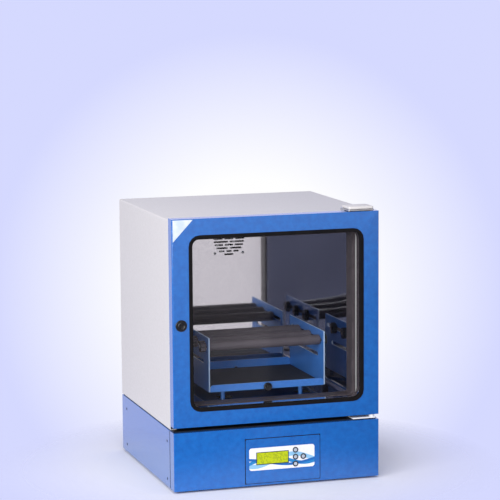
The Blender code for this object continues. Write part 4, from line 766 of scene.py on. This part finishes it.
form = bmesh.new()
bmesh.ops.create_circle(form, cap_ends=True, radius=0.8, segments=64)
floor_mesh = bpy.data.meshes.new("studio_floor")
form.to_mesh(floor_mesh)
form.free()
floor = shown("studio_floor", floor_mesh, floor_material())
print("floor disc:", len(floor_mesh.polygons), "face")

# %% World
AXIS = (forward - above * 0.018).normalized()


def studio_world():
    """Pale gradient for the eye, even grey for diffuse light, a softbox and dark room for gloss."""
    world = bpy.data.worlds.new("studio")
    world.use_nodes = True
    tree = world.node_tree
    tree.nodes.clear()
    ray = add(tree, "ShaderNodeTexCoord").outputs["Generated"]
    toward = add(tree, "ShaderNodeVectorMath", {0: ray, 1: AXIS}, operation="DISTANCE").outputs["Value"]
    backdrop = between(tree, toward, srgb("FFFFFF"), srgb("D5D9FF"), 0.050, 0.116)
    split = add(tree, "ShaderNodeSeparateXYZ", {0: ray})
    back = add(tree, "ShaderNodeMath", {0: split.outputs[1], 1: -1.0}, operation="MULTIPLY")
    turn = add(tree, "ShaderNodeMath", {0: split.outputs[0], 1: back.outputs[0]},
               operation="ARCTAN2").outputs[0]
    # The turn is 0 straight ahead of the door and grows to its right, in radians.
    left_edge = add(tree, "ShaderNodeMapRange", {"Value": turn, "From Min": 0.20, "From Max": 0.268},
                    interpolation_type="SMOOTHSTEP").outputs[0]
    lower_edge = add(tree, "ShaderNodeMapRange", {"Value": split.outputs[2], "From Min": -0.215, "From Max": -0.178},
                     interpolation_type="SMOOTHSTEP").outputs[0]
    right_edge = add(tree, "ShaderNodeMapRange", {"Value": turn, "From Min": 0.3100, "From Max": 0.3140,
                                                  "To Min": 1.0, "To Max": 0.0},
                     interpolation_type="SMOOTHSTEP").outputs[0]
    sides = add(tree, "ShaderNodeMath", {0: left_edge, 1: right_edge}, operation="MULTIPLY").outputs[0]
    softbox = add(tree, "ShaderNodeMath", {0: sides, 1: lower_edge}, operation="MULTIPLY").outputs[0]
    streaks = add(tree, "ShaderNodeTexNoise", {"W": turn, "Scale": 26.0, "Detail": 3.0, "Roughness": 0.6},
                  noise_dimensions="1D").outputs["Fac"]
    dark = between(tree, streaks, srgb("4E4F60"), srgb("8487A0"), 0.35, 0.68)
    front = add(tree, "ShaderNodeMapRange", {"Value": split.outputs[1], "From Min": -0.45, "From Max": 0.25},
                interpolation_type="SMOOTHSTEP").outputs[0]
    room = add(tree, "ShaderNodeMix", {"Factor": front}, data_type="RGBA")
    tree.links.new(dark, room.inputs[6])
    tree.links.new(backdrop, room.inputs[7])
    gloss = add(tree, "ShaderNodeMix", {"Factor": softbox}, data_type="RGBA")
    tree.links.new(room.outputs[2], gloss.inputs[6])
    gloss.inputs[7].default_value = (0.98, 0.89, 0.92, 1.0)
    # A pale wall strip above the softbox, which the glossy paint of the door's top catches.
    strip_low = add(tree, "ShaderNodeMapRange",
                    {"Value": split.outputs[2], "From Min": -0.120, "From Max": -0.112}).outputs[0]
    strip_high = add(tree, "ShaderNodeMapRange", {"Value": split.outputs[2], "From Min": 0.0, "From Max": 0.04,
                                                  "To Min": 1.0, "To Max": 0.0}).outputs[0]
    ahead = add(tree, "ShaderNodeMath", {0: back.outputs[0], 1: 0.4}, operation="GREATER_THAN").outputs[0]
    band = add(tree, "ShaderNodeMath", {0: strip_low, 1: strip_high}, operation="MULTIPLY").outputs[0]
    strip = add(tree, "ShaderNodeMath", {0: band, 1: ahead}, operation="MULTIPLY").outputs[0]
    lit = add(tree, "ShaderNodeMix", {"Factor": strip}, data_type="RGBA")
    tree.links.new(gloss.outputs[2], lit.inputs[6])
    lit.inputs[7].default_value = (1.35, 1.25, 1.2, 1.0)
    path = add(tree, "ShaderNodeLightPath")
    seen = add(tree, "ShaderNodeMath", {0: path.outputs["Is Camera Ray"],
                                        1: path.outputs["Is Transmission Ray"]}, operation="MAXIMUM")
    even = add(tree, "ShaderNodeMix", {"Factor": path.outputs["Is Glossy Ray"]}, data_type="RGBA")
    even.inputs[6].default_value = srgb("B9BAC4")
    tree.links.new(lit.outputs[2], even.inputs[7])
    total = add(tree, "ShaderNodeMix", {"Factor": seen.outputs[0]}, data_type="RGBA")
    tree.links.new(even.outputs[2], total.inputs[6])
    tree.links.new(backdrop, total.inputs[7])
    shine = add(tree, "ShaderNodeBackground", {"Color": total.outputs[2], "Strength": 1.0})
    add(tree, "ShaderNodeOutputWorld", {"Surface": shine.outputs[0]})
    return world


bpy.context.scene.world = studio_world()
print("world:", bpy.context.scene.world.name)

# %% Softboxes
def softbox(name, place, target, size, power, tint="FFFFFF"):
    """A square area lamp that faces its target."""
    data = bpy.data.lights.new(name, "AREA")
    data.shape, data.size, data.energy, data.color = "SQUARE", size, power, srgb(tint)[:3]
    lamp = bpy.data.objects.new(name, data)
    bpy.context.scene.collection.objects.link(lamp)
    aim = (Vector(target) - Vector(place)).to_track_quat("-Z", "Y")
    lamp.matrix_world = Matrix.Translation(place) @ aim.to_matrix().to_4x4()
    return lamp


softbox("key_front_left", (-2.9, -2.0, 1.6), (0, 0, 0.3), 1.6, 58)
softbox("low_fill", (-1.9, -2.8, 0.75), (0, 0, 0.3), 1.0, 40)
softbox("front_fill", (-0.7, -2.7, 2.5), (0, 0, 0.3), 1.2, 30)
softbox("top", (0.2, 0.2, 2.6), (0, 0, 0.5), 1.6, 6)
print("lamps:", len(bpy.data.lights))

# %% [markdown]
# ## View settings and the last lines
#
# The Standard view shows colours as they are written.

# %% View and finish
bpy.context.scene.view_settings.view_transform = "Standard"
bpy.context.view_layer.update()
